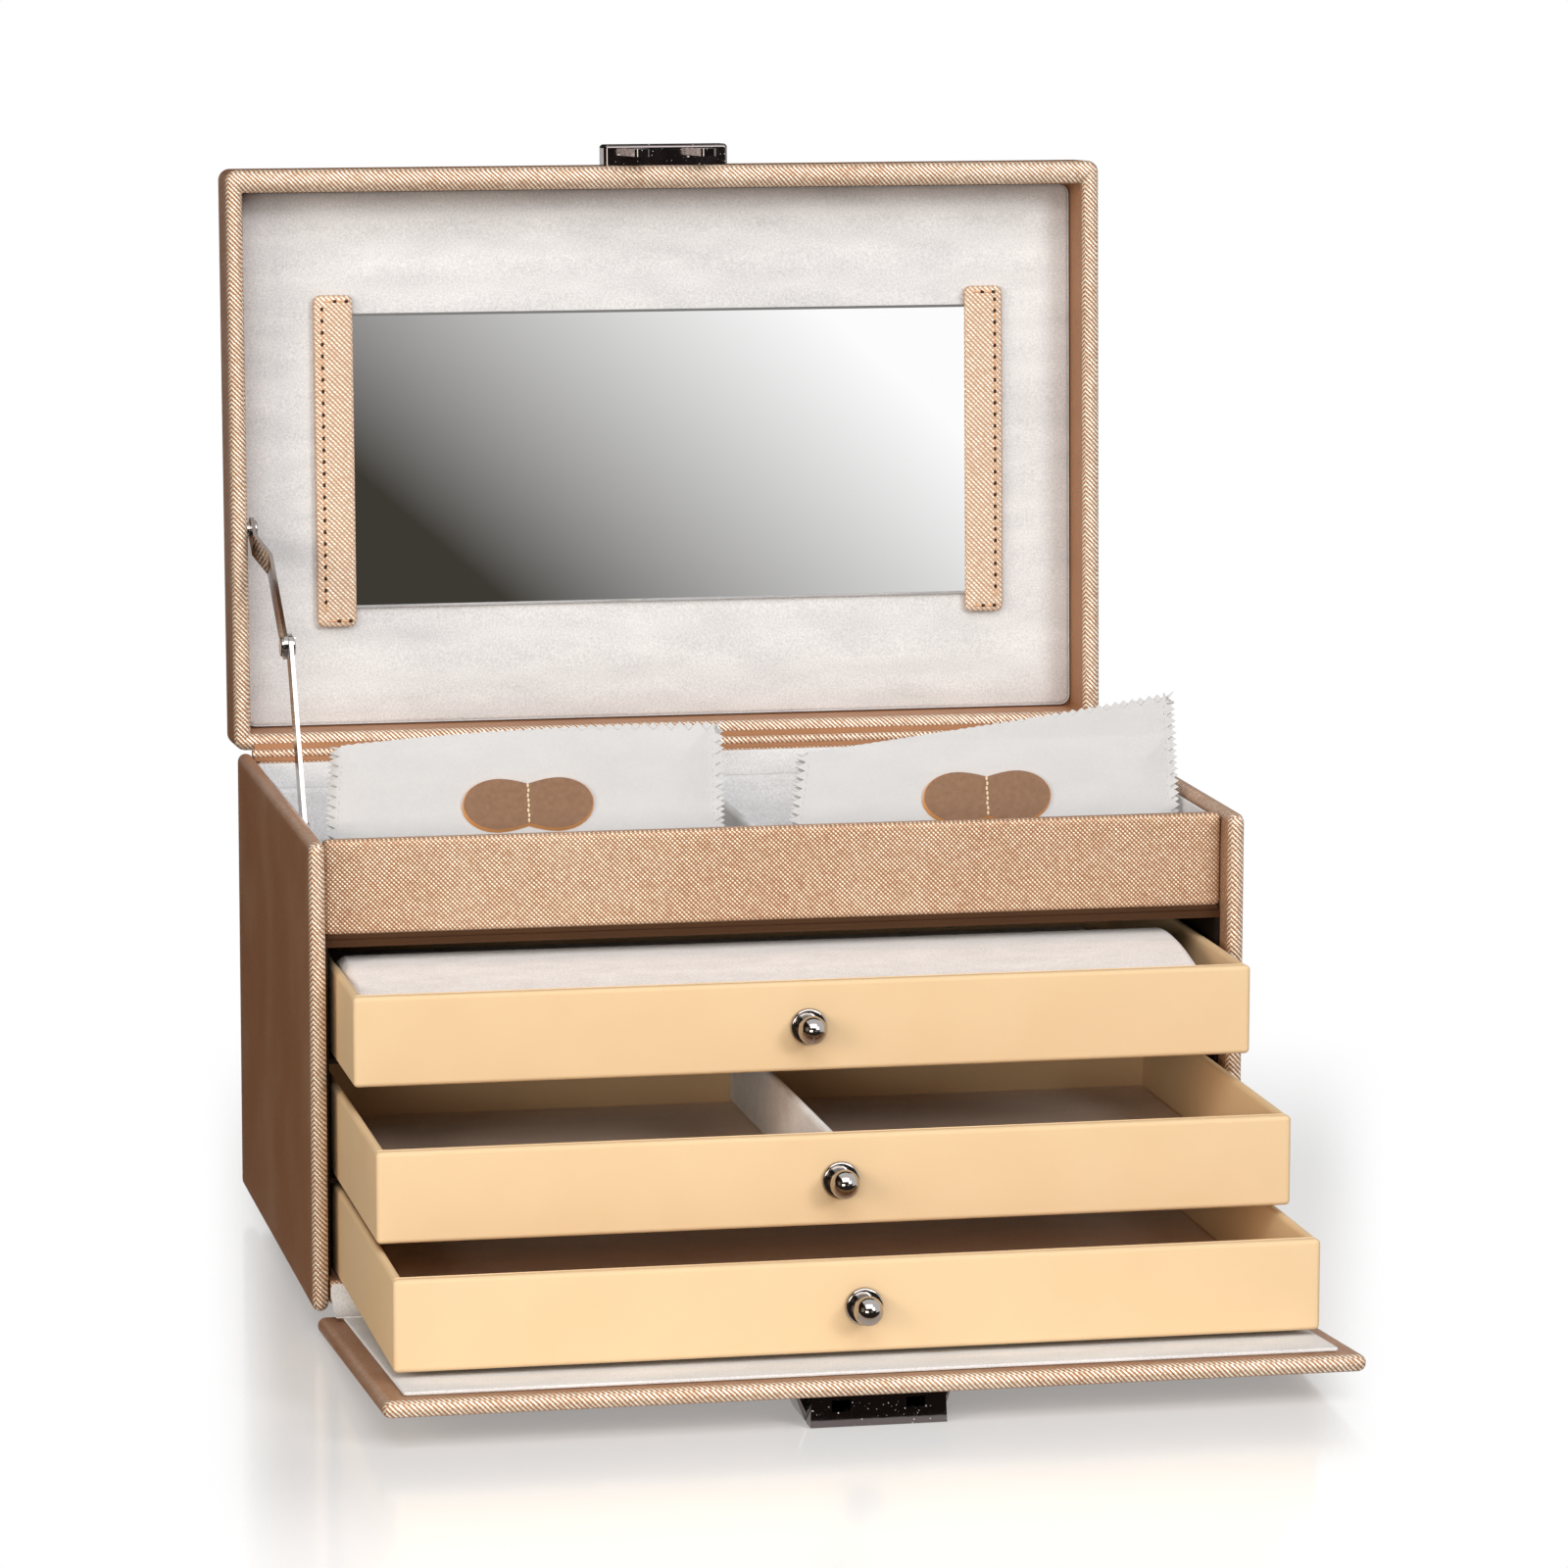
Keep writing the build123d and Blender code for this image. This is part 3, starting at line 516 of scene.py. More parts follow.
def face_plan() -> bpy.types.NodeTree:
    """Build the group that lays a flat plan on each face, across and along, by where the face looks.

    Faces that look along X are read in Y and Z, those along Y in X and Z, and the others in X and Y.

    Returns:
        The group.
    """

    def fill(wiring: Wiring, given: bpy.types.NodeOutputs) -> list[Socket]:
        """Lay the plan out: read the place by the axes that the face does not look along.

        Args:
            wiring: The group's wiring.
            given: Its inputs, not used, as the group has none.

        Returns:
            Its outputs, in order.
        """
        coordinates = wiring.put("ShaderNodeTexCoord").outputs
        place = wiring.split(coordinates["Object"])
        normal = wiring.split(coordinates["Normal"])
        x, y, z = (wiring.math("ABSOLUTE", normal[axis]) for axis in range(3))
        sideways = wiring.math("GREATER_THAN", x, wiring.math("MAXIMUM", y, z))
        upwards = wiring.math("GREATER_THAN", z, wiring.math("MAXIMUM", x, y))
        to_y = [wiring.math("SUBTRACT", place[1], place[axis]) for axis in (0, 2)]
        across = wiring.math("MULTIPLY_ADD", to_y[0], sideways, place[0])
        along = wiring.math("MULTIPLY_ADD", to_y[1], upwards, place[2])
        return [across, along]

    return shared_group("face_plan", {}, ("Across", "Along"), fill)


def pressed_hatch() -> bpy.types.NodeTree:
    """Build the group of the pressed leather's slanting cross-hatch.

    With a = (across + along) / (pitch sqrt 2) and b = (across - along) / (pitch sqrt 2), each bent a
    little by noise, the height is c(a) (1 - cross + cross c(b)), where c(t) = (1 + cos 2 pi t) / 2.
    The glint is the height from 0.17 to 0.6 as a smooth step, dimmed here and there by noise: the mask of the
    raised points where a painted pale highlight colour goes, and where the metal and roughness change.

    Returns:
        The group, with the height, the glint mask of the raised points (where a painted highlight goes) and a
        slow cloud for uneven colour.
    """
    bend_waves, patch_waves, cloud_waves = 300.0, 650.0, 22.0

    def fill(wiring: Wiring, given: bpy.types.NodeOutputs) -> list[Socket]:
        """Wire the two waves, the glint mask on their crests for a painted highlight, and the cloud.

        Args:
            wiring: The group's wiring.
            given: Its inputs.

        Returns:
            Its outputs, in order.
        """
        plan = wiring.group(face_plan())
        spot = wiring.spot()
        swing = wiring.math("SUBTRACT", wiring.noise(spot, bend_waves), 0.5)
        bend = wiring.math("MULTIPLY", swing, given["Wander"])
        waves = []
        for sign in (1.0, -1.0):
            slanting = wiring.math("MULTIPLY_ADD", plan["Along"], sign, plan["Across"])
            turns = wiring.math("DIVIDE", slanting, wiring.math("MULTIPLY", given["Pitch"], 2**0.5))
            bent = wiring.math("ADD", turns, bend)
            wave = wiring.math("COSINE", wiring.math("MULTIPLY", bent, 2 * pi))
            waves.append(wiring.math("MULTIPLY_ADD", wave, 0.5, 0.5))
        weak = wiring.math("SUBTRACT", 1.0, given["Cross"])
        crossed = wiring.math("MULTIPLY_ADD", waves[1], given["Cross"], weak)
        height = wiring.math("MULTIPLY", waves[0], crossed)
        # The raised points, which take a painted pale highlight colour in the leather's shader.
        painted_glint_dots = wiring.ramp(height, 0.17, 0.6, smooth=True)
        patchy = wiring.math("MULTIPLY_ADD", wiring.noise(spot, patch_waves, 3.0), 2.6, -0.7, clamp=True)
        dimmed = wiring.math("MULTIPLY", painted_glint_dots, wiring.math("MULTIPLY_ADD", patchy, 0.6, 0.4))
        return [height, dimmed, wiring.noise(spot, cloud_waves, 3.0)]

    inputs = {"Pitch": 0.97 * MM, "Cross": 0.8, "Wander": 0.3}
    return shared_group("pressed_hatch", inputs, ("Height", "Glint", "Cloud"), fill)


def soft_nap() -> bpy.types.NodeTree:
    """Build the group of a brushed nap: fine fibres over slow strokes left by a hand.

    Returns:
        The group, with the height of the fibres and the strokes, each from 0 to 1.
    """

    def fill(wiring: Wiring, given: bpy.types.NodeOutputs) -> list[Socket]:
        """Wire the fibres and the strokes.

        Args:
            wiring: The group's wiring.
            given: Its inputs.

        Returns:
            Its outputs, in order.
        """
        spot = wiring.spot()
        fine = wiring.noise(spot, wiring.math("DIVIDE", 1.0, given["Fibre"]), 3.0)
        stretched = wiring.vector("MULTIPLY", spot, (1.0, 2.6, 3.2))[0]
        strokes = wiring.noise(stretched, wiring.math("DIVIDE", 1.0, given["Stroke"]), 4.0)
        return [fine, strokes]

    return shared_group("soft_nap", {"Fibre": 0.5 * MM, "Stroke": 30 * MM}, ("Fibres", "Strokes"), fill)


def fine_grain() -> bpy.types.NodeTree:
    """Build the group of a fine grain: small cells over slow clouds.

    Returns:
        The group, with the height of the cells and the clouds, each from 0 to 1.
    """

    def fill(wiring: Wiring, given: bpy.types.NodeOutputs) -> list[Socket]:
        """Wire the cells and the clouds.

        Args:
            wiring: The group's wiring.
            given: Its inputs.

        Returns:
            Its outputs, in order.
        """
        spot = wiring.spot()
        scale = wiring.math("DIVIDE", 1.0, given["Cell"])
        feeds = {"Vector": spot, "Scale": scale}
        cells = wiring.put("ShaderNodeTexVoronoi", feeds, feature="SMOOTH_F1").outputs["Distance"]
        mixed = wiring.math("MULTIPLY_ADD", wiring.noise(spot, scale, 4.0), 0.6, cells)
        return [mixed, wiring.noise(spot, wiring.math("DIVIDE", 1.0, given["Cloud"]), 3.0)]

    return shared_group("fine_grain", {"Cell": 0.6 * MM, "Cloud": 25 * MM}, ("Height", "Clouds"), fill)


@dataclass(frozen=True)
class Finish:
    """A finish of the case: its material's name and the record's slot that it belongs to."""

    name: str
    slot: str

    def material(self) -> bpy.types.Material:
        """Give the finish's material, made the first time it is asked for.

        Returns:
            The material.
        """
        label = f"{self.name}_finish"
        found = bpy.data.materials.get(label)
        if found:
            return found
        made = bpy.data.materials.new(label)
        wiring = Wiring.fresh(made)
        wiring.put("ShaderNodeOutputMaterial", {"Surface": self.shader(wiring)})
        return made

    def shader(self, wiring: Wiring) -> Socket:
        """Wire the finish and give its shader's socket."""
        raise NotImplementedError

    @staticmethod
    def bump(wiring: Wiring, height: Socket, depth: float) -> Socket:
        """Turn a height from 0 to 1 into a bumped normal, so many metres deep."""
        return wiring.put("ShaderNodeBump", {"Height": height, "Distance": depth, "Strength": 1.0}).outputs[0]


@dataclass(frozen=True)
class PressedLeather(Finish):
    """Leather pressed with a slanting hatch on a matt ground, its raised points painted a pale gold highlight
    colour, partly their real metal sheen, which fades where the face is seen edge-on.
    """

    ground: Colour = paint(158, 111, 80)
    # Painted highlight: the pale colour of the raised points stands in for their glint.
    painted_glint_dots: Colour = paint(255, 243, 218)
    metallic: tuple[float, float] = (0.2, 0.5)
    roughness: tuple[float, float] = (0.46, 0.34)
    pitch: float = 0.97 * MM
    cross: float = 0.7
    depth: float = 0.15 * MM
    gloss: float = 0.06
    # Facing range over which the painted highlight fades to a tenth, where the face is seen edge-on.
    grazing: tuple[float, float] = (0.55, 0.88)

    def shader(self, wiring: Wiring) -> Socket:
        """Wire the hatch to colour, metal, roughness and bump, and give the shader's socket; the colour paints
        a pale highlight on the raised points of the hatch.

        Args:
            wiring: The material's wiring.

        Returns:
            The shader's socket.
        """
        hatch = wiring.group(pressed_hatch(), Pitch=self.pitch, Cross=self.cross)
        worn = wiring.math("MULTIPLY_ADD", hatch["Cloud"], 0.3, -0.15)
        # Painted highlight: the pale colour's share falls where the face is seen edge-on.
        facing = wiring.put("ShaderNodeLayerWeight", {"Blend": 0.5}).outputs["Facing"]
        glint = wiring.math("MULTIPLY", hatch["Glint"], wiring.ramp(facing, *self.grazing, 1.0, 0.1))
        share = wiring.math("ADD", glint, worn, clamp=True)
        low, high = self.metallic
        metal = wiring.math("MULTIPLY_ADD", hatch["Glint"], high - low, low)
        matt, bright = self.roughness
        rough = wiring.math("MULTIPLY_ADD", hatch["Glint"], bright - matt, matt)
        feeds = {"Base Color": wiring.blend(share, self.ground, self.painted_glint_dots), "Roughness": rough}
        feeds |= {"Metallic": metal, "Specular IOR Level": self.gloss}
        feeds["Normal"] = self.bump(wiring, hatch["Height"], self.depth)
        return wiring.shader("BsdfPrincipled", feeds)


@dataclass(frozen=True)
class SmoothLeather(Finish):
    """Thin folded leather with a fine grain, as at a hinge."""

    colour: Colour = paint(158, 112, 80)
    pale: Colour = paint(182, 134, 99)
    roughness: float = 0.46
    metallic: float = 0.0

    def shader(self, wiring: Wiring) -> Socket:
        """Wire the grain to colour and bump, and give the shader's socket.

        Args:
            wiring: The material's wiring.

        Returns:
            The shader's socket.
        """
        grain = wiring.group(fine_grain(), Cell=0.5 * MM)
        feeds = {"Base Color": wiring.blend(grain["Clouds"], self.colour, self.pale)}
        feeds |= {"Roughness": self.roughness, "Metallic": self.metallic, "Specular IOR Level": 0.15}
        feeds["Normal"] = self.bump(wiring, grain["Height"], 0.05 * MM)
        return wiring.shader("BsdfPrincipled", feeds)


@dataclass(frozen=True)
class NappedCloth(Finish):
    """Suede or microfibre: a fine nap with slow strokes in it and a soft sheen."""

    colour: Colour = paint(193, 192, 193)
    brushed: Colour = paint(232, 231, 231)
    fibre: float = 0.6 * MM
    stroke: float = 28 * MM
    depth: float = 0.10 * MM
    sheen: float = 0.25

    def shader(self, wiring: Wiring) -> Socket:
        """Wire the nap to colour and bump, and give the shader's socket.

        Args:
            wiring: The material's wiring.

        Returns:
            The shader's socket.
        """
        nap = wiring.group(soft_nap(), Fibre=self.fibre, Stroke=self.stroke)
        strokes = wiring.math("MULTIPLY_ADD", nap["Strokes"], 0.9, -0.7)
        mixed = wiring.math("MULTIPLY_ADD", nap["Fibres"], 1.5, strokes, clamp=True)
        feeds = {"Base Color": wiring.blend(mixed, self.colour, self.brushed), "Roughness": 0.95}
        feeds |= {"Specular IOR Level": 0.1, "Sheen Weight": self.sheen, "Sheen Roughness": 0.5}
        feeds["Normal"] = self.bump(wiring, nap["Fibres"], self.depth)
        return wiring.shader("BsdfPrincipled", feeds)


@dataclass(frozen=True)
class CoatedBoard(Finish):
    """Paper or a thin coat on board, nearly flat, with faint clouds of colour."""

    colour: Colour = paint(219, 188, 147)
    cloud: Colour = paint(225, 197, 158)
    roughness: float = 0.58
    cell: float = 0.8 * MM
    depth: float = 0.02 * MM
    gloss: float = 0.12

    def shader(self, wiring: Wiring) -> Socket:
        """Wire the grain to colour, roughness and bump, and give the shader's socket.

        Args:
            wiring: The material's wiring.

        Returns:
            The shader's socket.
        """
        grain = wiring.group(fine_grain(), Cell=self.cell)
        rough = wiring.math("MULTIPLY_ADD", grain["Clouds"], 0.12, self.roughness - 0.06)
        feeds = {"Base Color": wiring.blend(grain["Clouds"], self.colour, self.cloud)}
        feeds |= {"Roughness": rough, "Specular IOR Level": self.gloss}
        feeds["Normal"] = self.bump(wiring, grain["Height"], self.depth)
        return wiring.shader("BsdfPrincipled", feeds)


@dataclass(frozen=True)
class PolishedMetal(Finish):
    """Bright plated metal with faint wipe marks, which throws no light patches on what is near.

    Its specks are pale matt points where a fine noise passes 0.76 to 0.8, less their own share.
    """

    colour: Colour = paint(176, 170, 166)
    roughness: float = 0.10
    unlit: Colour = paint(40, 38, 36)
    specks: float = 0.0
    speck_colour: Colour = (0.9, 0.88, 0.86)

    def shader(self, wiring: Wiring) -> Socket:
        """Wire the wipe marks to roughness and bump, and give the shader's socket.

        Args:
            wiring: The material's wiring.

        Returns:
            The shader's socket.
        """
        grain = wiring.group(fine_grain(), Cell=1.2 * MM, Cloud=6 * MM)
        rough = wiring.math("MULTIPLY_ADD", grain["Clouds"], 0.10, self.roughness - 0.05)
        scattered = wiring.put("ShaderNodeLightPath").outputs["Is Diffuse Ray"]
        shown, metal = self.colour, 1.0
        if self.specks:
            fine = wiring.noise(wiring.spot(), 1300.0)
            speck = wiring.ramp(fine, 0.76 - self.specks, 0.80 - self.specks)
            shown = wiring.blend(speck, self.colour, self.speck_colour)
            metal = wiring.math("SUBTRACT", 1.0, speck)
        feeds = {"Base Color": wiring.blend(scattered, shown, self.unlit), "Roughness": rough}
        feeds["Metallic"] = metal
        feeds["Normal"] = self.bump(wiring, grain["Height"], 0.003 * MM)
        return wiring.shader("BsdfPrincipled", feeds)


@dataclass(frozen=True)
class SilveredGlass(Finish):
    """Mirror glass: a clean silvered face with the faintest haze."""

    colour: Colour = paint(252, 252, 252)

    def shader(self, wiring: Wiring) -> Socket:
        """Wire a faint haze to roughness, and give the shader's socket.

        Args:
            wiring: The material's wiring.

        Returns:
            The shader's socket.
        """
        grain = wiring.group(fine_grain(), Cloud=40 * MM)
        rough = wiring.math("MULTIPLY_ADD", grain["Clouds"], 0.02, 0.0)
        feeds = {"Base Color": (*self.colour, 1), "Metallic": 1.0, "Roughness": rough}
        return wiring.shader("BsdfPrincipled", feeds)


# Each pressed leather's second colour is a painted highlight on its raised points.
CASE_LEATHER = PressedLeather("rose_gold_leather", "saffiano")
TAB_LEATHER = PressedLeather(
    "tab_leather",
    "saffiano",
    paint(190, 154, 127),
    paint(246, 232, 213),
    metallic=(0.1, 0.4),
    pitch=1.15 * MM,
    cross=0.5,
)
# A copy of the pressed leather with a brighter painted highlight, for rolled rims and rounded edges, where the
# glint shows more.
ROLLED_LEATHER_PAINTED_GLINT = PressedLeather(
    "rolled_leather_painted_glint",
    "saffiano",
    paint(160, 112, 80),
    paint(255, 250, 232),
    metallic=(0.25, 0.4),
    pitch=1.05 * MM,
    cross=0.4,
)
PATCH_LEATHER = PressedLeather(
    "patch_leather",
    "patch_leather",
    paint(123, 93, 74),
    paint(153, 121, 97),
    metallic=(0.0, 0.1),
    roughness=(0.6, 0.5),
    pitch=0.42 * MM,
    cross=0.3,
    depth=0.04 * MM,
)
HINGE_LEATHER = SmoothLeather("hinge_leather", "hinge_leather")
# Painted shade: a dark brown that stands for the shaded inside of the bay below the rail.
BAY_PAINTED_SHADE = SmoothLeather("bay_painted_shade_brown", "saffiano", paint(62, 38, 20), paint(72, 46, 26), 0.7)
RAW_EDGE = SmoothLeather("raw_leather_edge", "patch_leather", paint(212, 148, 90), paint(228, 164, 104), 0.6)
PATCH_THREAD = SmoothLeather(
    "patch_thread", "patch_leather", paint(226, 204, 170), paint(240, 222, 190), 0.7
)
TAB_THREAD = SmoothLeather("tab_thread", "saffiano", paint(214, 160, 118), paint(232, 186, 146), 0.6, 0.1)
# Painted shade: dark pods between the stitches stand for the shade inside the needle holes.
NEEDLE_HOLE_PAINTED_SHADE = SmoothLeather("needle_hole_painted_shade", "saffiano", paint(58, 38, 28), paint(72, 48, 34), 0.8)
SUEDE = NappedCloth("lining_suede", "suede")
HINGE_SUEDE = NappedCloth("hinge_suede", "hinge_leather")
DRAWER_SUEDE = NappedCloth("drawer_suede", "suede", paint(222, 190, 164), paint(246, 220, 196))
# Painted light: the top drawer's pad is paler than the lining suede, for the light it lacks below the rail.
PLUSH_PAINTED_LIGHT = NappedCloth(
    "pad_plush_painted_light",
    "suede",
    paint(210, 203, 200),
    paint(244, 238, 235),
    stroke=12 * MM,
    depth=0.16 * MM,
    sheen=0.4,
)
POUCH_CLOTH = NappedCloth(
    "pouch_microfibre",
    "pouch_cloth",
    paint(194, 193, 194),
    paint(205, 205, 205),
    fibre=0.35 * MM,
    stroke=20 * MM,
    depth=0.08 * MM,
    sheen=0.1,
)
PAPER = CoatedBoard("drawer_paper", "drawer_paper")
BAY_BOARD = CoatedBoard("bay_board", "bay_board", paint(24, 18, 14), paint(32, 24, 18), 0.4, gloss=0.15)
# Painted reflection: dark grey for the mirror's upper bevel and edge, for the dark reflection they show.
MIRROR_TOP_PAINTED_REFLECTION = CoatedBoard("mirror_top_painted_reflection", "mirror_glass", paint(84, 84, 82), paint(96, 96, 94), 0.3, gloss=0.3)
RUBBER = CoatedBoard("foot_rubber", "rubber", paint(38, 36, 36), paint(46, 44, 43), 0.7)
METAL = PolishedMetal("bright_metal", "chrome_metal")
LOCK_METAL = PolishedMetal(
    "lock_metal", "chrome_metal", paint(118, 110, 110), 0.08, unlit=paint(24, 22, 22), specks=0.06
)
MIRROR = SilveredGlass("mirror_silver", "mirror_glass")


@dataclass(frozen=True)
class Piece:
    """What a new piece is called, what it rides on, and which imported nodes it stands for."""

    name: str
    body: str
    finishes: tuple[Finish, ...]
    replaces: tuple[str, ...] = ()
    smooth_below: float = 38.0

    def make(self, surface: Surface) -> bpy.types.Object:
        """Args:
            surface: The piece's points, faces and finish numbers.

        Returns:
            The object, at the origin, unturned.
        """
        mesh = bpy.data.meshes.new(self.name)
        mesh.from_pydata(surface.points.tolist(), [], surface.faces)
        mesh.polygons.foreach_set("material_index", surface.finish.astype(np.int32))
        mesh.polygons.foreach_set("use_smooth", np.ones(len(mesh.polygons), bool))
        mesh.set_sharp_from_angle(angle=radians(self.smooth_below))
        mesh.update()
        made = bpy.data.objects.new(self.name, mesh)
        bpy.context.scene.collection.objects.link(made)
        for finish in self.finishes:
            mesh.materials.append(finish.material())
        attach(made, self.body)
        if self.replaces:
            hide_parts(*self.replaces)
        LOG.info("%s: %d faces, on %s", self.name, len(mesh.polygons), self.body)
        return made


def dress(finish: Finish, *nodes: str) -> None:
    """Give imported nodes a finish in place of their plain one.

    Args:
        finish: The finish.
        *nodes: The nodes' names.
    """
    for name in nodes:
        node = frame["nodes"][name]
        node.data.materials.clear()
        node.data.materials.append(finish.material())
        LOG.info("%s: packed node, now %s", name, finish.name)


def joint(name: str) -> dict:
    """Find a joint of the record by its name."""
    return next(row for row in frame["record"]["behaviour"]["joints"] if row["name"] == name)


def box_of(node: str) -> tuple[np.ndarray, np.ndarray]:
    """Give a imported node's lowest and highest corner."""
    low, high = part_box(node)
    return np.array(low), np.array(high)


def board_for(node: str, facing: Facing, cushion: Cushioning, grow: Spot = (0, 0, 0)) -> Surface:
    """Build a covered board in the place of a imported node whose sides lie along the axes.

    Args:
        node: The node's name.
        facing: Which way its broad face looks.
        cushion: How it is rounded.
        grow: What to add to its size along its own x, y and z.

    Returns:
        The board, in the room.
    """
    low, high = box_of(node)
    size = np.abs(np.asarray(facing.value, float)) @ (high - low) + np.asarray(grow)
    return padded_board(tuple(size), cushion).laid(Place(tuple((low + high) / 2), facing.value))


@dataclass
class CaseBody:
    """The fixed case: its covered panels, base, rail, bays, feet and hinge leather."""

    panel: Cushioning = Cushioning(2.4 * MM, 3.2 * MM, 0.4 * MM, 7 * MM)
    panel_drop: float = 2.4 * MM
    # A dark strip under the rail that paints the shade there: its depth and height, its overlap and its
    # rounding.
    rail_painted_shade: tuple[float, float] = (4.6 * MM, 1.4 * MM)
    rail_painted_shade_lap: float = 0.3 * MM
    rail_painted_shade_edge: Cushioning = Cushioning(0.3 * MM, 0.4 * MM, 0.02 * MM, 1 * MM)
    rail: Cushioning = Cushioning(1.7 * MM, 1.8 * MM, 0.25 * MM, 4 * MM)
    back: Cushioning = Cushioning(2.3 * MM, 2.4 * MM, 0.3 * MM, 6 * MM)

    def rail_painted_shade_strip(self) -> Surface:
        """Work out the narrow dark strip under the front rail, flush with the rail's rear face, which paints
        the shade below the rail.

        Returns:
            The strip, in the room.
        """
        low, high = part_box("front_rail")
        deep, tall = self.rail_painted_shade
        strip = padded_board((2 * high[0] - 1 * MM, deep, tall), self.rail_painted_shade_edge)
        return strip.moved((0, high[1] - deep / 2, low[2] - tall / 2 + self.rail_painted_shade_lap))

    def build(self) -> None:
        """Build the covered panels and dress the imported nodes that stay."""
        for side in Side:
            node = f"{side.name.lower()}_side_panel"
            panel = board_for(node, Facing.RIGHT, self.panel, (0, self.panel_drop, 0))
            # The rounded edges take the copy with the brighter painted highlight.
            panel = edged(panel.moved((0, 0, -self.panel_drop / 2)), self.panel)
            Piece(f"{node}_leather", "case", (CASE_LEATHER, ROLLED_LEATHER_PAINTED_GLINT), (node,)).make(panel)
        rail = board_for("front_rail", Facing.FRONT, self.rail)
        Piece("front_rail_leather", "case", (CASE_LEATHER,), ("front_rail",)).make(rail)
        back = board_for("back_panel", Facing.FRONT, self.back)
        Piece("back_panel_leather", "case", (CASE_LEATHER,), ("back_panel",)).make(back)
        dress(CASE_LEATHER, "base_board")
        dress(SUEDE, "base_front_lining")
        dress(RUBBER, "feet")
        dress(BAY_BOARD, "left_bay_wall", "right_bay_wall", "lower_shelf", "upper_shelf")
        # Painted shade: the compartment board's front edge is dark brown for the shade below the rail.
        dress(BAY_PAINTED_SHADE, "compartment_board")
        dress(HINGE_LEATHER, "lid_hinge_strip")
        dress(HINGE_SUEDE, "flap_hinge_strip")
        # Painted shade: a dark strip under the front rail.
        Piece("rail_painted_shade", "case", (BAY_PAINTED_SHADE,)).make(self.rail_painted_shade_strip())


@dataclass
class TopCompartment:
    """The suede-lined compartment under the lid, with its padded rear wall and its divider."""

    wall: float = 1.2 * MM
    floor: float = 2.0 * MM
    sink: float = 1.0 * MM
    corner: float = 1.6 * MM
    pad: Cushioning = Cushioning(1.9 * MM, 2.0 * MM, 0.35 * MM, 6 * MM)
    board: Cushioning = Cushioning(1.4 * MM, 1.5 * MM, 0.1 * MM, 3 * MM)

    def tray(self) -> Surface:
        """Work out the lining as one tray: up the outside, over the lip, down inside, across the floor.

        Returns:
            The tray, in the room.
        """
        low, high = box_of("compartment_lining")
        half = tuple((high - low)[:2] / 2)
        lip = self.wall / 2
        top = high[2] - low[2] - lip
        outside = np.array([[half[1] * CAP_REACH, 0], [0, 0]])
        over = arc((lip, top), lip, 180, 0, 8)
        inside = arc((self.wall + self.sink, self.floor + self.sink), self.sink, 180, 270, 5)
        middle = np.array([[half[1] * CAP_REACH, self.floor]])
        profile = np.concatenate([outside, over, inside, middle])
        place = Place((*(low + high)[:2] / 2, low[2]))
        return carried(half, self.corner, profile, 5).laid(place)

    def build(self) -> None:
        """Build the tray, the padded rear wall and the divider."""
        Piece("compartment_suede", "case", (SUEDE,), ("compartment_lining",)).make(self.tray())
        pad = board_for("rear_pad", Facing.FRONT, self.pad)
        Piece("rear_wall_pad", "case", (SUEDE,), ("rear_pad",)).make(pad)
        divider = board_for("compartment_divider", Facing.RIGHT, self.board)
        Piece("divider_suede", "case", (SUEDE,), ("compartment_divider",)).make(divider)
        links = ("stay_upper_link", "stay_lower_link", "stay_upper_rivet", "stay_lower_rivet")
        dress(METAL, "stay_case_rivet", *links)


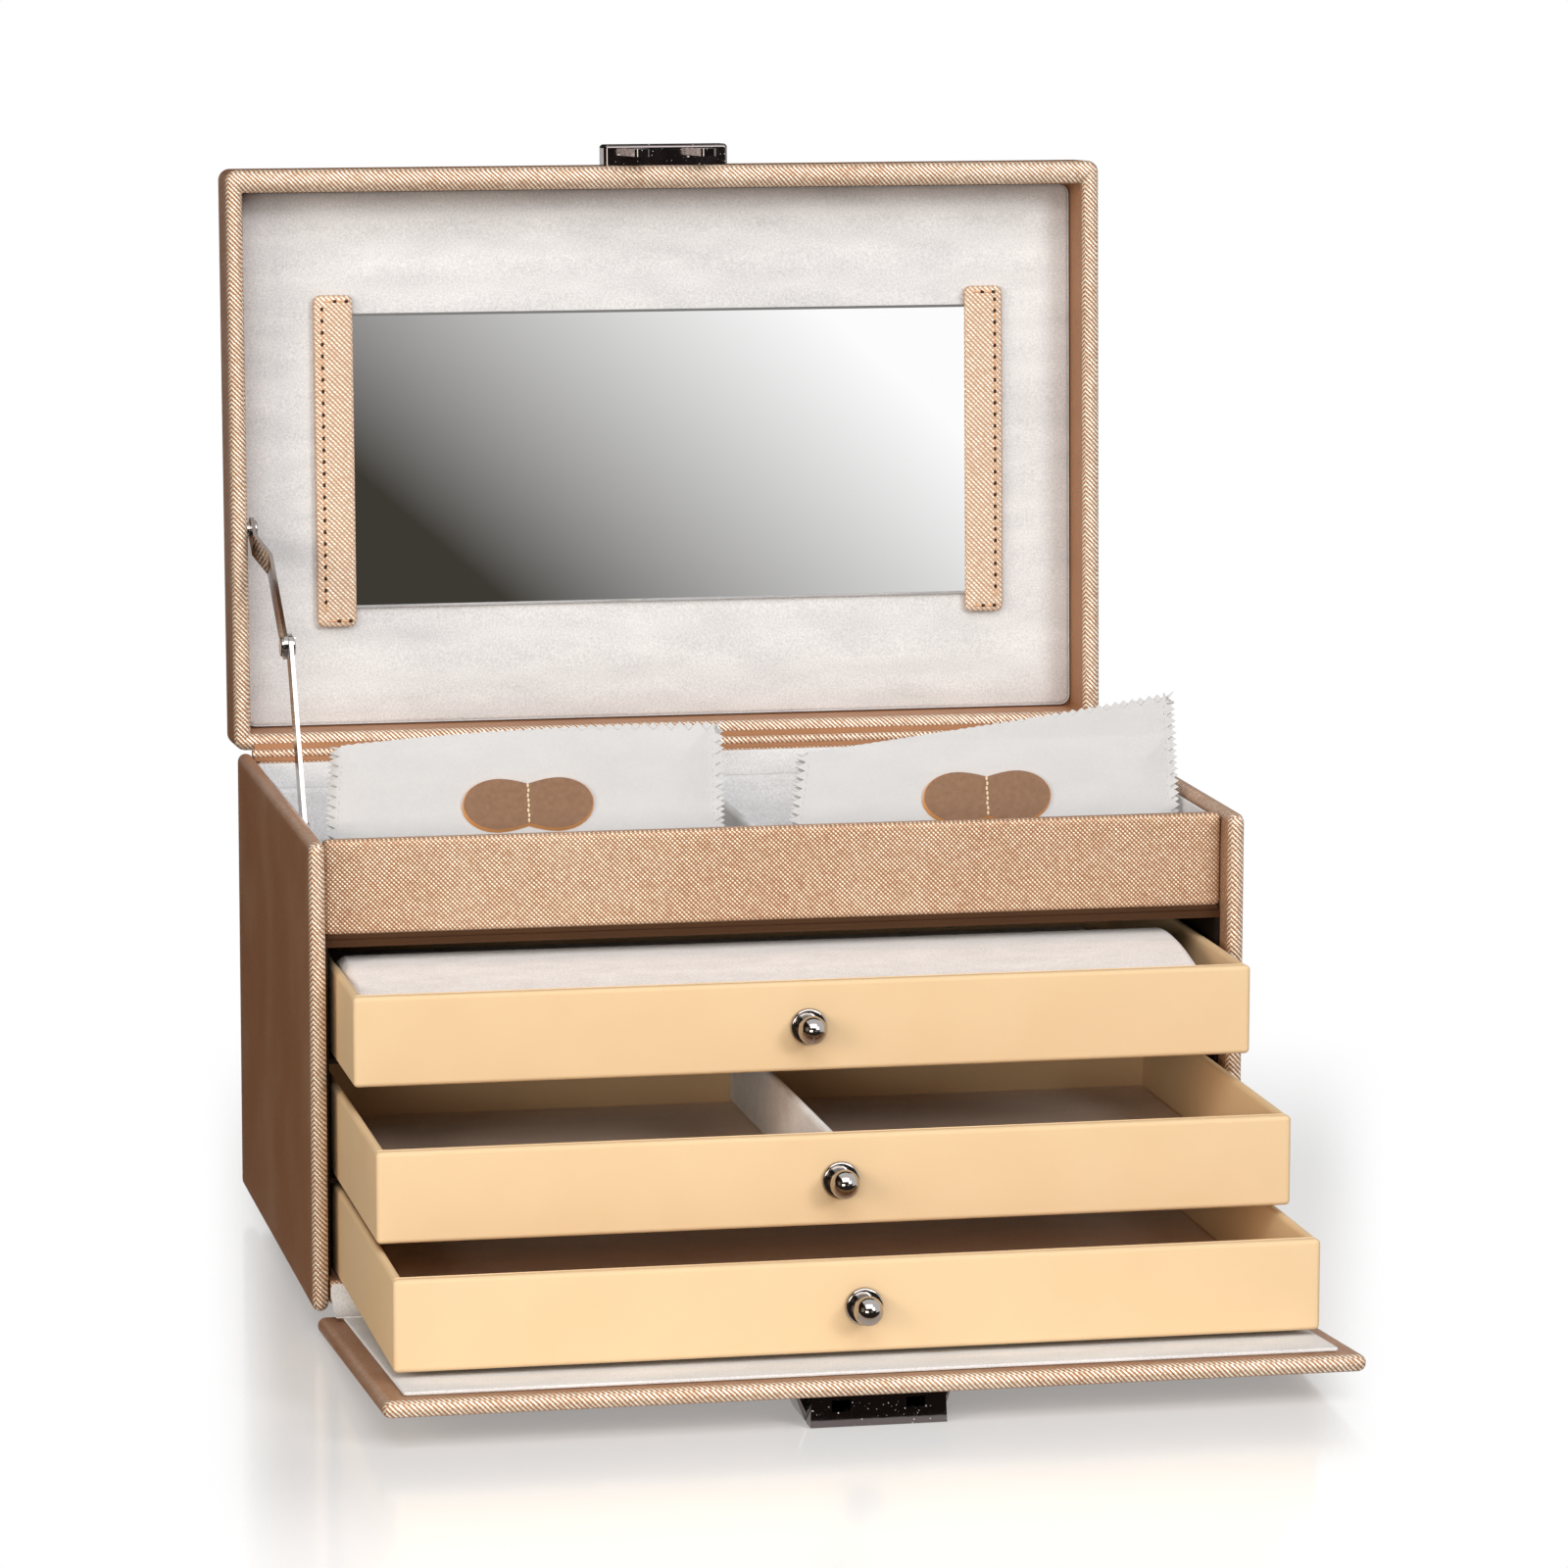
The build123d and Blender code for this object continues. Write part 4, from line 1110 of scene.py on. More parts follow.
@dataclass
class Lid:
    """The lid: a covered tray with a rolled rim, its lining, the mirror, its tabs and the hasp.

    In the lid's frame x runs across, y from the hinge up to the free edge, and z out of the lid
    towards a person in front of it. The hinge axis is the origin.
    """

    opened: float = 92.5
    half_width: float = 140 * MM
    near: float = 1.0 * MM
    far: float = 182.8 * MM
    rim: float = -1.2 * MM
    depth: float = 24.0 * MM
    wall: float = 5.3 * MM
    far_wall: float = 7.3 * MM
    rim_radius: float = 2.4 * MM
    corner_radius: float = 3.6 * MM
    fold_radius: float = 1.5 * MM
    back_radius: float = 3.0 * MM
    back_crown: float = 0.5 * MM
    back_fall: float = 9 * MM
    lining: float = -18.2 * MM
    mirror_middle: float = 90.5 * MM
    mirror_half: tuple[float, float] = (102 * MM, 46.5 * MM)
    mirror_depth: float = 2.0 * MM
    mirror_bevel: tuple[float, float] = (0.8 * MM, 0.4 * MM)
    tab_size: tuple[float, float, float] = (12.4 * MM, 104.8 * MM, 3.2 * MM)
    tab_overlap: float = 3.1 * MM
    tab_edge: Cushioning = Cushioning(0.9 * MM, 2.2 * MM, 0.3 * MM, 1.2 * MM)
    stitch_pitch: float = 3.7 * MM
    stitch_margin: float = 2.6 * MM
    stitch_end_margin: float = 1.9 * MM
    stitch_sink: float = 0.08 * MM
    stitch_share: float = 0.72
    thread_radius: float = 0.28 * MM
    hole: tuple[float, float] = (1.25 * MM, 0.52 * MM)
    card: Cushioning = Cushioning(1.45 * MM, 3.2 * MM, 0.7 * MM, 3 * MM)
    card_thickness: float = 3.0 * MM
    card_gap: float = 0.5 * MM

    def __post_init__(self) -> None:
        """Work out the lid's frame from the record's hinge."""
        hinge = joint("lid_hinge")["pos_m"]
        self.place = Place.tilted(tuple(hinge), 180 - self.opened)
        self.floor = self.lining - self.card_thickness + 0.2 * MM

    def shell(self) -> Surface:
        """Work out the shell: out over its back, up its walls, round the rolled rim and down inside.

        The back lies at bottom + crown * exp(-way to the edge / fall), the walls are straight, and
        the rim is half an ellipse.

        Returns:
            The shell, in the room: finish 0 outside, 1 on the inner walls and 2 on the rolled rim.
        """
        half = (self.half_width, (self.far - self.near) / 2)
        bottom = self.rim - self.depth
        spread = np.linspace(0.94, 0.03, 8)[:, None] ** 1.5 * half[1]
        crown = bottom + self.back_crown * np.exp(-spread / self.back_fall)
        back = np.concatenate([spread + self.back_radius, crown], 1)
        middle = (self.back_radius, bottom + self.back_crown + self.back_radius)
        edge = arc(middle, self.back_radius, 270, 180)
        rise = np.linspace(0.1, 0.9, 5)[:, None]
        walls = np.concatenate([np.zeros_like(rise), bottom + rise * self.depth], 1)
        shoulder = self.rim - self.rim_radius
        walls = walls[(walls[:, 1] > edge[-1, 1]) & (walls[:, 1] < shoulder)]
        rolled = arc((self.wall / 2, shoulder), self.wall / 2, 180, 0, 14)
        rolled[:, 1] = shoulder + (rolled[:, 1] - shoulder) * self.rim_radius / (self.wall / 2)
        drop = np.linspace(0.04, 1, 6)[:, None]
        inner = np.concatenate([self.wall + 0 * drop, rolled[-1, 1] + drop * (self.floor - rolled[-1, 1])], 1)
        profile = np.concatenate([back, edge, walls, rolled, inner])
        outside = len(back) + len(edge) + len(walls)
        share = np.clip(profile[:, 0] / self.wall, 0, 1)
        share[:outside] = 0
        shell = carried(half, self.corner_radius, profile, 8, (self.far_wall - self.wall) * share)
        round_faces = len(shell.points) // len(profile)
        shell.finish[(outside - 1) * round_faces : (outside + len(rolled) - 1) * round_faces] = 2
        shell.finish[-len(inner) * round_faces - 2 :] = 1
        shell.finish[[0 in face for face in shell.faces]] = 0
        return shell.moved((0, (self.near + self.far) / 2, 0)).laid(self.place)

    def lining_card(self) -> Surface:
        """Work out the suede card in the lid, its edges rounded down into the gap beside the walls.

        Returns:
            The card, in the room.
        """
        ends = (self.near + self.wall + self.card_gap, self.far - self.far_wall - self.card_gap)
        width = 2 * (self.half_width - self.wall - self.card_gap)
        card = padded_board((width, ends[1] - ends[0], self.card_thickness), self.card)
        return card.moved((0, sum(ends) / 2, self.lining - self.card_thickness / 2)).laid(self.place)

    def hinge_fold(self) -> Surface:
        """Work out the leather fold that lies round the hinge axis and closes the gap under the lid."""
        radius, reach = self.fold_radius, self.half_width - self.wall
        profile = np.array([[0.1 * radius, -reach], [radius, -reach], [radius, reach], [0.1 * radius, reach]])
        return turned(profile, 20).laid(Place(self.place.origin, Facing.RIGHT.value))

    def mirror_glass(self) -> Surface:
        """Work out the mirror: its flat face, a narrow bevel round it, and its edge.

        Returns:
            The glass, in the room: finish 0, but 1 on the upper bevel, which is painted dark grey for the dark
                reflection it shows.
        """
        depth, bevel = self.mirror_depth, self.mirror_bevel
        inset = np.array([20 * MM, 0, 0, bevel[0], 12 * MM, 30 * MM])
        level = np.array([-depth, -depth, -bevel[1], 0, 0, 0])
        glass = carried(self.mirror_half, 0.4 * MM, np.stack([inset, level], -1), 2)
        brim = self.mirror_half[1] - 1.5 * bevel[0]
        glass.finish[[glass.points[face, 1].min() > brim for face in glass.faces]] = 1
        return glass.moved((0, self.mirror_middle, self.lining + depth)).laid(self.place)

    def tab_middle(self, side: Side) -> float:
        """Give a tab's middle across the lid."""
        return side.value * (self.mirror_half[0] - self.tab_overlap + self.tab_size[0] / 2)

    def tab(self, side: Side) -> Surface:
        """Work out one tab, a soft leather strip stepped over the end of the mirror."""
        strip = padded_board(self.tab_size, self.tab_edge)
        shift = (self.tab_middle(side), self.mirror_middle, self.lining + self.tab_size[2] / 2)
        return strip.moved(shift).laid(self.place)

    def tab_seam(self, side: Side) -> tuple[np.ndarray, np.ndarray]:
        """Work out where a tab's stitches lie: along its outer edge and across its short ends.

        Args:
            side: Which tab.

        Returns:
            N by 3 middles in the lid's frame, and N by 3 directions of the thread.
        """
        width, length, height = self.tab_size
        outer = self.tab_middle(side) + side.value * (width / 2 - self.stitch_margin)
        count = int((length - 2 * self.stitch_margin) / self.stitch_pitch)
        reach = count * self.stitch_pitch / 2
        level = self.lining + height - self.stitch_sink
        rise = np.linspace(-reach, reach, count + 1)[:-1] + self.stitch_pitch / 2
        long = np.stack([np.full(count, outer), self.mirror_middle + rise, np.full(count, level)], -1)
        inwards = outer - side.value * (np.arange(2) + 0.6) * self.stitch_pitch
        end_row = length / 2 - self.stitch_end_margin
        tops = (self.mirror_middle - end_row, self.mirror_middle + end_row)
        ends = np.array([(x, y, level) for y in tops for x in inwards])
        upwards, sideways = (0.0, 1.0, 0.0), (1.0, 0.0, 0.0)
        along = np.concatenate([np.tile(upwards, (count, 1)), np.tile(sideways, (len(ends), 1))])
        return np.concatenate([long, ends]), along

    def build_tab(self, side: Side) -> None:
        """Build one tab with its thread and needle holes.

        Args:
            side: Which tab.
        """
        label = side.name.lower()
        node = f"{label}_mirror_tab"
        Piece(f"{node}_leather", "lid", (TAB_LEATHER,), (node,)).make(self.tab(side))
        points, along = self.tab_seam(side)
        thread = stitch_row(points, along, self.stitch_pitch * self.stitch_share, self.thread_radius)
        Piece(f"{label}_tab_thread", "lid", (TAB_THREAD,)).make(thread.laid(self.place))
        # Painted shade: dark pods in the needle holes between the stitches.
        holes = stitch_row(points + along * self.stitch_pitch / 2, along, *self.hole)
        Piece(f"{label}_tab_holes", "lid", (NEEDLE_HOLE_PAINTED_SHADE,)).make(holes.laid(self.place))

    def build(self) -> None:
        """Build the shell, lining and tabs, and dress the mirror and the fittings."""
        # The rolled rim takes the copy with the brighter painted highlight.
        covers = (CASE_LEATHER, HINGE_LEATHER, ROLLED_LEATHER_PAINTED_GLINT)
        Piece("lid_leather", "lid", covers, ("lid_shell",)).make(self.shell())
        Piece("lid_suede", "lid", (SUEDE,), ("lid_lining",)).make(self.lining_card())
        for side in Side:
            self.build_tab(side)
        Piece("mirror_pane", "lid", (MIRROR, MIRROR_TOP_PAINTED_REFLECTION), ("mirror",), 10).make(self.mirror_glass())
        # The hinge fold takes the copy with the brighter painted highlight.
        Piece("lid_hinge_fold", "case", (ROLLED_LEATHER_PAINTED_GLINT,)).make(self.hinge_fold())
        dress(HINGE_LEATHER, "lid_hinge_leaf")
        dress(LOCK_METAL, "lid_hasp")
        dress(METAL, "stay_lid_rivet")


@dataclass
class DropFront:
    """The lowered front flap: a covered board, its suede panel and the lock under its free edge.

    In the flap's frame x runs across, y from the free edge to the hinge, and z out of its lined face.
    """

    half_width: float = 138.5 * MM
    free_edge: float = 137.4 * MM
    tail: float = 2.4 * MM
    face_drop: float = 2.0 * MM
    thickness: float = 5.2 * MM
    border: float = 6.5 * MM
    lining_tail: float = 1.9 * MM
    lining_thickness: float = 1.2 * MM
    bridge_thickness: float = 0.35 * MM
    bridge_gap: float = 0.2 * MM
    bridge_path: tuple = (
        (0.25 * MM, 7.6 * MM),
        (0.25 * MM, 4.4 * MM),
        (0.1 * MM, 3.0 * MM),
        (-0.9 * MM, 1.8 * MM),
        (-2.5 * MM, 0.6 * MM),
        (-4.4 * MM, 0.0 * MM),
        (-6.4 * MM, -0.05 * MM),
        (-10.0 * MM, 0.18 * MM),
    )
    board: Cushioning = Cushioning(2.3 * MM, 2.6 * MM, 0.2 * MM, 4 * MM)
    panel: Cushioning = Cushioning(0.55 * MM, 1.2 * MM, 0.05 * MM, 4 * MM)

    def __post_init__(self) -> None:
        """Work out the flap's frame from the record: its hinge, and the tilt of the lock's key axis."""
        up = joint("lock_key_turn")["axis"]
        self.tilt = degrees(asin(up[1]))
        self.place = Place.tilted(tuple(joint("flap_hinge")["pos_m"]), -self.tilt)

    def slab(
        self, half: float, ends: tuple[float, float], levels: tuple[float, float], cushion: Cushioning
    ) -> Surface:
        """Work out a covered slab in the flap's frame.

        Args:
            half: Half its width.
            ends: Its ends along y.
            levels: Its lower and upper face.
            cushion: How it is rounded.

        Returns:
            The slab, in the room.
        """
        slab = padded_board((2 * half, ends[1] - ends[0], levels[1] - levels[0]), cushion)
        return slab.moved((0, sum(ends) / 2, sum(levels) / 2)).laid(self.place)

    def bridge(self) -> Surface:
        """Work out the suede that runs from the base's front edge down over the hinge onto the flap.

        Its upper side goes through the points of bridge_path, measured from the hinge axis, and its
        lower side lies one thickness below and behind them.

        Returns:
            The strip, in the room.
        """
        upper = np.array(self.bridge_path)
        run = np.gradient(upper, axis=0)
        aside = np.stack([-run[:, 1], run[:, 0]], -1) / np.hypot(*run.T)[:, None]
        lower = upper + self.bridge_thickness * aside
        section = np.concatenate([upper, lower[::-1]])
        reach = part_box("right_side_panel")[0][0] - self.bridge_gap
        rows = np.stack([np.insert(section, 0, x, axis=1) for x in np.linspace(-reach, reach, 9)])
        return Surface.grid(rows).laid(Place(tuple(joint("flap_hinge")["pos_m"])))

    def build(self) -> None:
        """Build the board, its suede panel and the suede over the hinge, and dress the lock."""
        levels = (-self.face_drop - self.thickness, -self.face_drop)
        board = self.slab(self.half_width, (-self.free_edge, self.tail), levels, self.board)
        # The rounded edges take the copy with the brighter painted highlight.
        board = edged(board, self.board)
        Piece("flap_leather", "flap", (CASE_LEATHER, ROLLED_LEATHER_PAINTED_GLINT), ("flap_board",)).make(board)
        ends = (self.border - self.free_edge, self.lining_tail)
        levels = (-self.face_drop, self.lining_thickness - self.face_drop)
        panel = self.slab(self.half_width - self.border, ends, levels, self.panel)
        Piece("flap_suede", "flap", (SUEDE,), ("flap_lining",)).make(panel)
        Piece("hinge_bridge_suede", "case", (HINGE_SUEDE,), (), 60).make(self.bridge())
        dress(LOCK_METAL, "lock_case", "lock_plug", "lock_bolt")
        dress(METAL, "lock_pins")


@dataclass
class Drawer:
    """One paper-wrapped drawer with its suede floor, its ball knob and, in one of them, a divider."""

    number: int
    divided: bool = False
    wall: float = 2.8 * MM
    floor: float = 1.9 * MM
    front: Cushioning = Cushioning(1.3 * MM, 1.4 * MM, 0.08 * MM, 4 * MM)
    pad: Cushioning = Cushioning(0.75 * MM, 1.2 * MM, 0.1 * MM, 5 * MM)
    crown: float = 9.9 * MM
    roll_reach: tuple[float, float] = (50 * MM, 42 * MM)
    roll_drops: tuple[float, float] = (9.0 * MM, 17.0 * MM)
    pad_short: float = 7.5 * MM
    pad_round: float = 3.0 * MM
    side_drop: float = 3.0 * MM
    end_round: float = 3.0 * MM
    end_drop: float = 2.5 * MM
    thick_pad: float = 5.0 * MM
    front_wider: float = 0.5 * MM
    foot_round: float = 0.8 * MM
    foot_reach: float = 6.0 * MM
    floor_round: float = 0.7 * MM
    corner: float = 1.0 * MM
    front_rest: float = 0.2 * MM
    divider: Cushioning = Cushioning(1.35 * MM, 1.4 * MM, 0.1 * MM, 3 * MM)
    ball: float = 4.2 * MM
    base: float = 5.4 * MM
    base_height: float = 1.6 * MM
    neck: float = 2.3 * MM
    neck_height: float = 1.2 * MM
    shoulder: float = 0.7 * MM
    waist: float = 0.5 * MM
    chamfer: float = 0.1 * MM

    def knob_profile(self) -> np.ndarray:
        """Work out the knob: a flat base with a round shoulder, a waisted neck and a ball.

        The ball's middle lies sqrt(ball^2 - neck^2) above the neck's end.

        Returns:
            Points (radius, height), from the foot outwards and up to the ball's top.
        """
        middle = self.base_height + self.neck_height + (self.ball**2 - self.neck**2) ** 0.5
        meet = degrees(atan2(self.base_height + self.neck_height - middle, self.neck))
        foot = np.array([[self.chamfer, 0], [self.base - self.chamfer, 0], [self.base, self.chamfer]])
        rim = arc((self.base - self.shoulder, self.base_height - self.shoulder), self.shoulder, 0, 90)
        waist = arc((self.neck + self.waist, self.base_height + self.waist), self.waist, 270, 180, 4)
        ball = arc((0, middle), self.ball, meet, 88.5, 22)
        return np.concatenate([foot, rim, waist, ball])

    def box(self) -> Surface:
        """Work out the wrapped box as one tray, open behind its front board.

        The profile goes up the outside, over the round lip, down inside and across the floor. At the
        front end the wall is drawn in to nothing, because the front board closes the box there.

        Returns:
            The box, in the room.
        """
        low, high = box_of(f"drawer_{self.number}_box")
        half = tuple((high - low)[:2] / 2)
        lip = self.wall / 2
        top = high[2] - low[2] - lip
        foot = arc((self.foot_round, self.foot_round), self.foot_round, 270, 180, 4)
        under = np.array([[half[1] * CAP_REACH, 0], [self.foot_reach, 0]])
        over = arc((lip, top), lip, 180, 0, 8)
        sunk = (self.wall + self.floor_round, self.floor + self.floor_round)
        inside = arc(sunk, self.floor_round, 180, 270, 4)
        middle = np.array([[half[1] * CAP_REACH, self.floor]])
        profile = np.concatenate([under, foot, over, inside, middle])
        share = np.clip(profile[:, 0] / self.wall, 0, 1)
        share[: len(under) + len(foot)] = 0
        tray = carried(half, self.corner, profile, 4, -(self.wall - self.front_rest) * share)
        turned_round = ((-1, 0, 0), (0, -1, 0), (0, 0, 1))
        return tray.laid(Place((*(low + high)[:2] / 2, low[2]), turned_round))

    def rolled_pad(self) -> Surface:
        """Work out the thick pad of the top drawer: a broad roll along the front, flat behind it.

        With d the way from the crest, the top lies at crest - drop * (d / front)^2 in front of it, and
        at crest - drop * (1 - cos(pi d / back)) / 2 behind it, until d reaches the roll's back. Sides
        and ends fall away by drop * (1 - sqrt(1 - (1 - e)^2)), with e from 0 at the edge to 1 inside.

        Returns:
            The pad, in the room.
        """
        low, high = box_of(f"drawer_{self.number}_lining")
        high = high - (self.pad_short, 0, 0)
        size = high - low
        along = np.concatenate([np.linspace(0, 0.6, 73), np.linspace(0.64, 0.96, 8), np.linspace(0.98, 1, 6)])
        near_side = np.linspace(0, self.pad_round / size[0], 9)
        across = np.concatenate([near_side, np.linspace(0.05, 0.95, 25), 1 - near_side[::-1]])
        grid_s, grid_u = np.meshgrid(along, across)
        front, back = self.roll_reach
        way = grid_s * size[1] - front
        ahead = self.roll_drops[0] * (way / front) ** 2
        behind = self.roll_drops[1] * (1 - np.cos(pi * np.clip(way / back, 0, 1))) / 2
        side = np.clip(np.minimum(grid_u, 1 - grid_u) * size[0] / self.pad_round, 0, 1)
        end = np.clip(np.minimum(grid_s, 1 - grid_s) * size[1] / self.end_round, 0, 1)
        top = high[2] + self.crown - np.where(way < 0, ahead, behind)
        side_fall, end_fall = (1 - np.sqrt(1 - (1 - edge) ** 2) for edge in (side, end))
        top -= self.side_drop * side_fall + self.end_drop * end_fall
        x, y = low[0] + grid_u * size[0], low[1] + grid_s * size[1]
        upper = np.stack([x, y, top], -1)
        lower = np.stack([x, y, np.full_like(x, low[2])], -1)
        return Surface.grid(np.concatenate([upper, lower[:, ::-1]], 1)[::-1])

    def build(self) -> None:
        """Build the box, front, pad, knob and divider, and dress the screw."""
        body = f"drawer_{self.number}"
        Piece(f"{body}_paper_box", body, (PAPER,), (f"{body}_box",)).make(self.box())
        node = f"{body}_front"
        front = board_for(node, Facing.FRONT, self.front, (self.front_wider, 0, 0))
        Piece(f"{node}_paper", body, (PAPER,), (node,)).make(front)
        low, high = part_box(f"{body}_lining")
        thick = high[2] - low[2] > self.thick_pad
        pad = self.rolled_pad() if thick else board_for(f"{body}_lining", Facing.UP, self.pad)
        # The thick pad takes the paler suede that paints in the light it lacks below the rail.
        Piece(f"{body}_pad", body, (PLUSH_PAINTED_LIGHT if thick else DRAWER_SUEDE,), (f"{body}_lining",)).make(pad)
        low, high = box_of(f"{body}_knob")
        foot = ((low[0] + high[0]) / 2, high[1], (low[2] + high[2]) / 2)
        knob = turned(self.knob_profile(), 56).laid(Place(foot, Facing.FRONT.value))
        Piece(f"{body}_ball_knob", body, (METAL,), (f"{body}_knob",)).make(knob)
        if self.divided:
            board = board_for(f"{body}_divider", Facing.RIGHT, self.divider)
            Piece(f"{body}_divider_suede", body, (SUEDE,), (f"{body}_divider",)).make(board)
        dress(METAL, f"{body}_screw")


@dataclass
class Pouch:
    """A microfibre pouch of two pinked layers, a sewn seam inside its sides and a leather patch.

    In the pouch's frame x runs across from its lower left corner, y up its slope, and z out of the
    face that carries the patch.
    """

    side: Side
    left: float
    width: float
    heights: tuple[float, float]
    tapers: tuple[float, float]
    patch_middle: tuple[float, float]
    bulge: float
    curl: float
    top_depths: tuple[float, float]
    toe: float = 40 * MM
    lean: float = 78.0
    thickness: float = 5.0 * MM
    gap: float = 0.16 * MM
    hem: float = 3.7 * MM
    tooth_depth: float = 2.9 * MM
    teeth_up: int = 16
    teeth_across: int = 22
    cells: int = 6
    patch_half: float = 19.75 * MM
    lobe: tuple[float, float] = (10.75 * MM, 7.6 * MM)
    waist: float = 5.9 * MM
    patch_thickness: float = 1.3 * MM
    cloth: float = 0.4 * MM
    filling: float = 1.7 * MM
    swell_reach: float = 14 * MM
    end_lead: float = 2.5 * MM
    stitches: int = 8
    stitch: tuple[float, float] = (1.25 * MM, 0.36 * MM)
    seam_pitch: float = 2.2 * MM
    seam_stitch: tuple[float, float] = (1.6 * MM, 0.18 * MM)
    kept: float = 0.3

    def __post_init__(self) -> None:
        """Work out the pouch's frame: leaned about X, and set down at its CAD solid's lowest point."""
        self.node = f"pouch_{self.side.name.lower()}"
        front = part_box("left_side_panel")[0][1]
        self.place = Place.tilted((self.left, front + self.toe, 0), self.lean)
        lowest = min(self.layer(front_one).points[:, 2].min() for front_one in (True, False))
        self.place = Place.tilted((self.left, front + self.toe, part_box(self.node)[0][2] - lowest), self.lean)

    def swell(self, x: np.ndarray, y: np.ndarray) -> np.ndarray:
        """Work out one layer's thickness at a place: full inside, thin at the hem.

        With e = the distance to the nearest side seam or end over the swell's reach, limited to 0..1,
        it is cloth + filling * (1 - (1 - e)^2).

        Args:
            x: Distances across.
            y: Distances up the slope.

        Returns:
            Thicknesses, of the same shape.
        """
        to_side = np.minimum(x, self.width - x) - self.hem
        to_end = np.minimum(y, self.heights[0] - y) + self.end_lead
        near = np.clip(np.minimum(to_side, to_end) / self.swell_reach, 0, 1)
        return self.cloth + self.filling * (1 - (1 - near) ** 2)

    def waves(self, x: np.ndarray, y: np.ndarray) -> np.ndarray:
        """Work out how far the soft cloth lies off its plane.

        Slow waves 0.45 mm high grow towards the top. A curl bends the upper left hem backwards beyond
        a crease that slants from 6 to 10.5 mm off the side, by curl * (share beyond the crease)^2.

        Args:
            x: Distances across.
            y: Distances up the slope.

        Returns:
            Heights, of the same shape.
        """
        u, v = x / self.width, y / self.heights[0]
        slow = 0.5 * np.sin(2 * pi * (0.9 * u + 0.3 * v + 0.1))
        slow = slow + 0.3 * np.sin(2 * pi * (1.7 * u - 0.8 * v))
        rise = np.clip((v - 0.35) / 0.4, 0, 1)
        rise = rise * rise * (3 - 2 * rise)
        line = (6.0 + 4.5 * v) * MM
        beyond = np.clip((line - x) / (5.5 * MM), 0, 1.6)
        crease = np.exp(-(((x - line) / (2.2 * MM)) ** 2))
        return MM * 0.45 * slow * (0.3 + v) - self.curl * rise * (beyond**2 + 0.22 * crease)

    def outline(self, u: np.ndarray, v: np.ndarray, phase: float) -> tuple[np.ndarray, np.ndarray]:
        """Turn shares across and up into places, with the sides and the top cut in a zigzag.

        A tooth's cut is depth * |2 (n s + phase mod 1) - 1| at the share s of an edge with n teeth,
        and it fades out inside the hem. The top lies on a line between its corners, plus a bulge.

        Args:
            u: Shares across, 0 to 1.
            v: Shares up, 0 to 1.
            phase: Where the first tooth starts, in teeth.

        Returns:
            Places x and y.
        """
        top = self.heights[0] + (self.heights[1] - self.heights[0]) * u + self.bulge * 4 * u * (1 - u)
        left, right = self.tapers[0] * v, self.width - self.tapers[1] * v
        side_cut = self.tooth_depth * np.abs(2 * np.mod(v * self.teeth_up + phase, 1) - 1)
        share = 2 * self.hem / self.width
        side_fade = np.clip((np.abs(u - 0.5) * 2 - 1 + share) / share, 0, 1)
        depth = self.top_depths[0] + (self.top_depths[1] - self.top_depths[0]) * np.clip(u * 1.6 - 0.6, 0, 1)
        top_cut = depth * np.abs(2 * np.mod(u * self.teeth_across + phase, 1) - 1)
        top_fade = np.clip(1 - (1 - v) * top / self.hem, 0, 1)
        x = left + u * (right - left) - np.sign(u - 0.5) * side_cut * side_fade
        return x, v * top - top_cut * top_fade

    def face(self, x: np.ndarray, y: np.ndarray) -> np.ndarray:
        """Work out the level of the patched face: mid-plane + waves + half the gap + swell."""
        return -self.thickness / 2 + self.waves(x, y) + self.gap / 2 + self.swell(x, y)

    def layer(self, front_one: bool) -> Surface:
        """Work out one layer as a closed sheet: across its upper face and back under it.

        The rear layer's teeth stand half a tooth beside the front one's.

        Args:
            front_one: Whether it is the layer with the patch.

        Returns:
            The layer, in the room.
        """
        u, v = (np.linspace(0, 1, teeth * self.cells + 1) for teeth in (self.teeth_across, self.teeth_up))
        x, y = self.outline(*np.meshgrid(u, v), 0.0 if front_one else 0.5)
        level = -self.thickness / 2 + self.waves(x, y)
        sign = 1 if front_one else -1
        inner, outer = level + sign * self.gap / 2, level + sign * (self.gap / 2 + self.swell(x, y))
        high, low = (outer, inner) if front_one else (inner, outer)
        ring = np.concatenate([np.stack([x, y, high], -1), np.stack([x, y, low], -1)[:, ::-1]], 1)
        sheet = Surface.grid(ring, capped=False)
        ends = self.closed_end(ring[0], False), self.closed_end(ring[-1], True)
        return Surface.joined(sheet, *ends).laid(self.place)

    @staticmethod
    def closed_end(ring: np.ndarray, top: bool) -> Surface:
        """Close one end of a layer by a strip of faces between its two edges."""
        half = len(ring) // 2
        strip = np.stack([ring[:half], ring[half:][::-1]], 0)
        return Surface.grid(strip if top else strip[::-1], around=False, capped=False)

    def patch_rim(self, x: np.ndarray) -> np.ndarray:
        """Work out half the patch's height: an elliptic lobe outside c, and a shallow notch inside it.

        Outside c = half - lobe it is h sqrt(1 - ((|x| - c) / lobe)^2), and inside it is
        waist + (h - waist) (1 - (1 - |x| / c)^1.7).

        Args:
            x: Distances from the patch's middle.

        Returns:
            Half heights, of the same shape.
        """
        reach, height = self.lobe
        centre = self.patch_half - reach
        away = np.abs(x)
        lobe = height * np.sqrt(np.clip(1 - ((away - centre) / reach) ** 2, 0, 1))
        notch = self.waist + (height - self.waist) * (1 - (1 - np.clip(away / centre, 0, 1)) ** 1.7)
        return np.where(away > centre, lobe, notch)

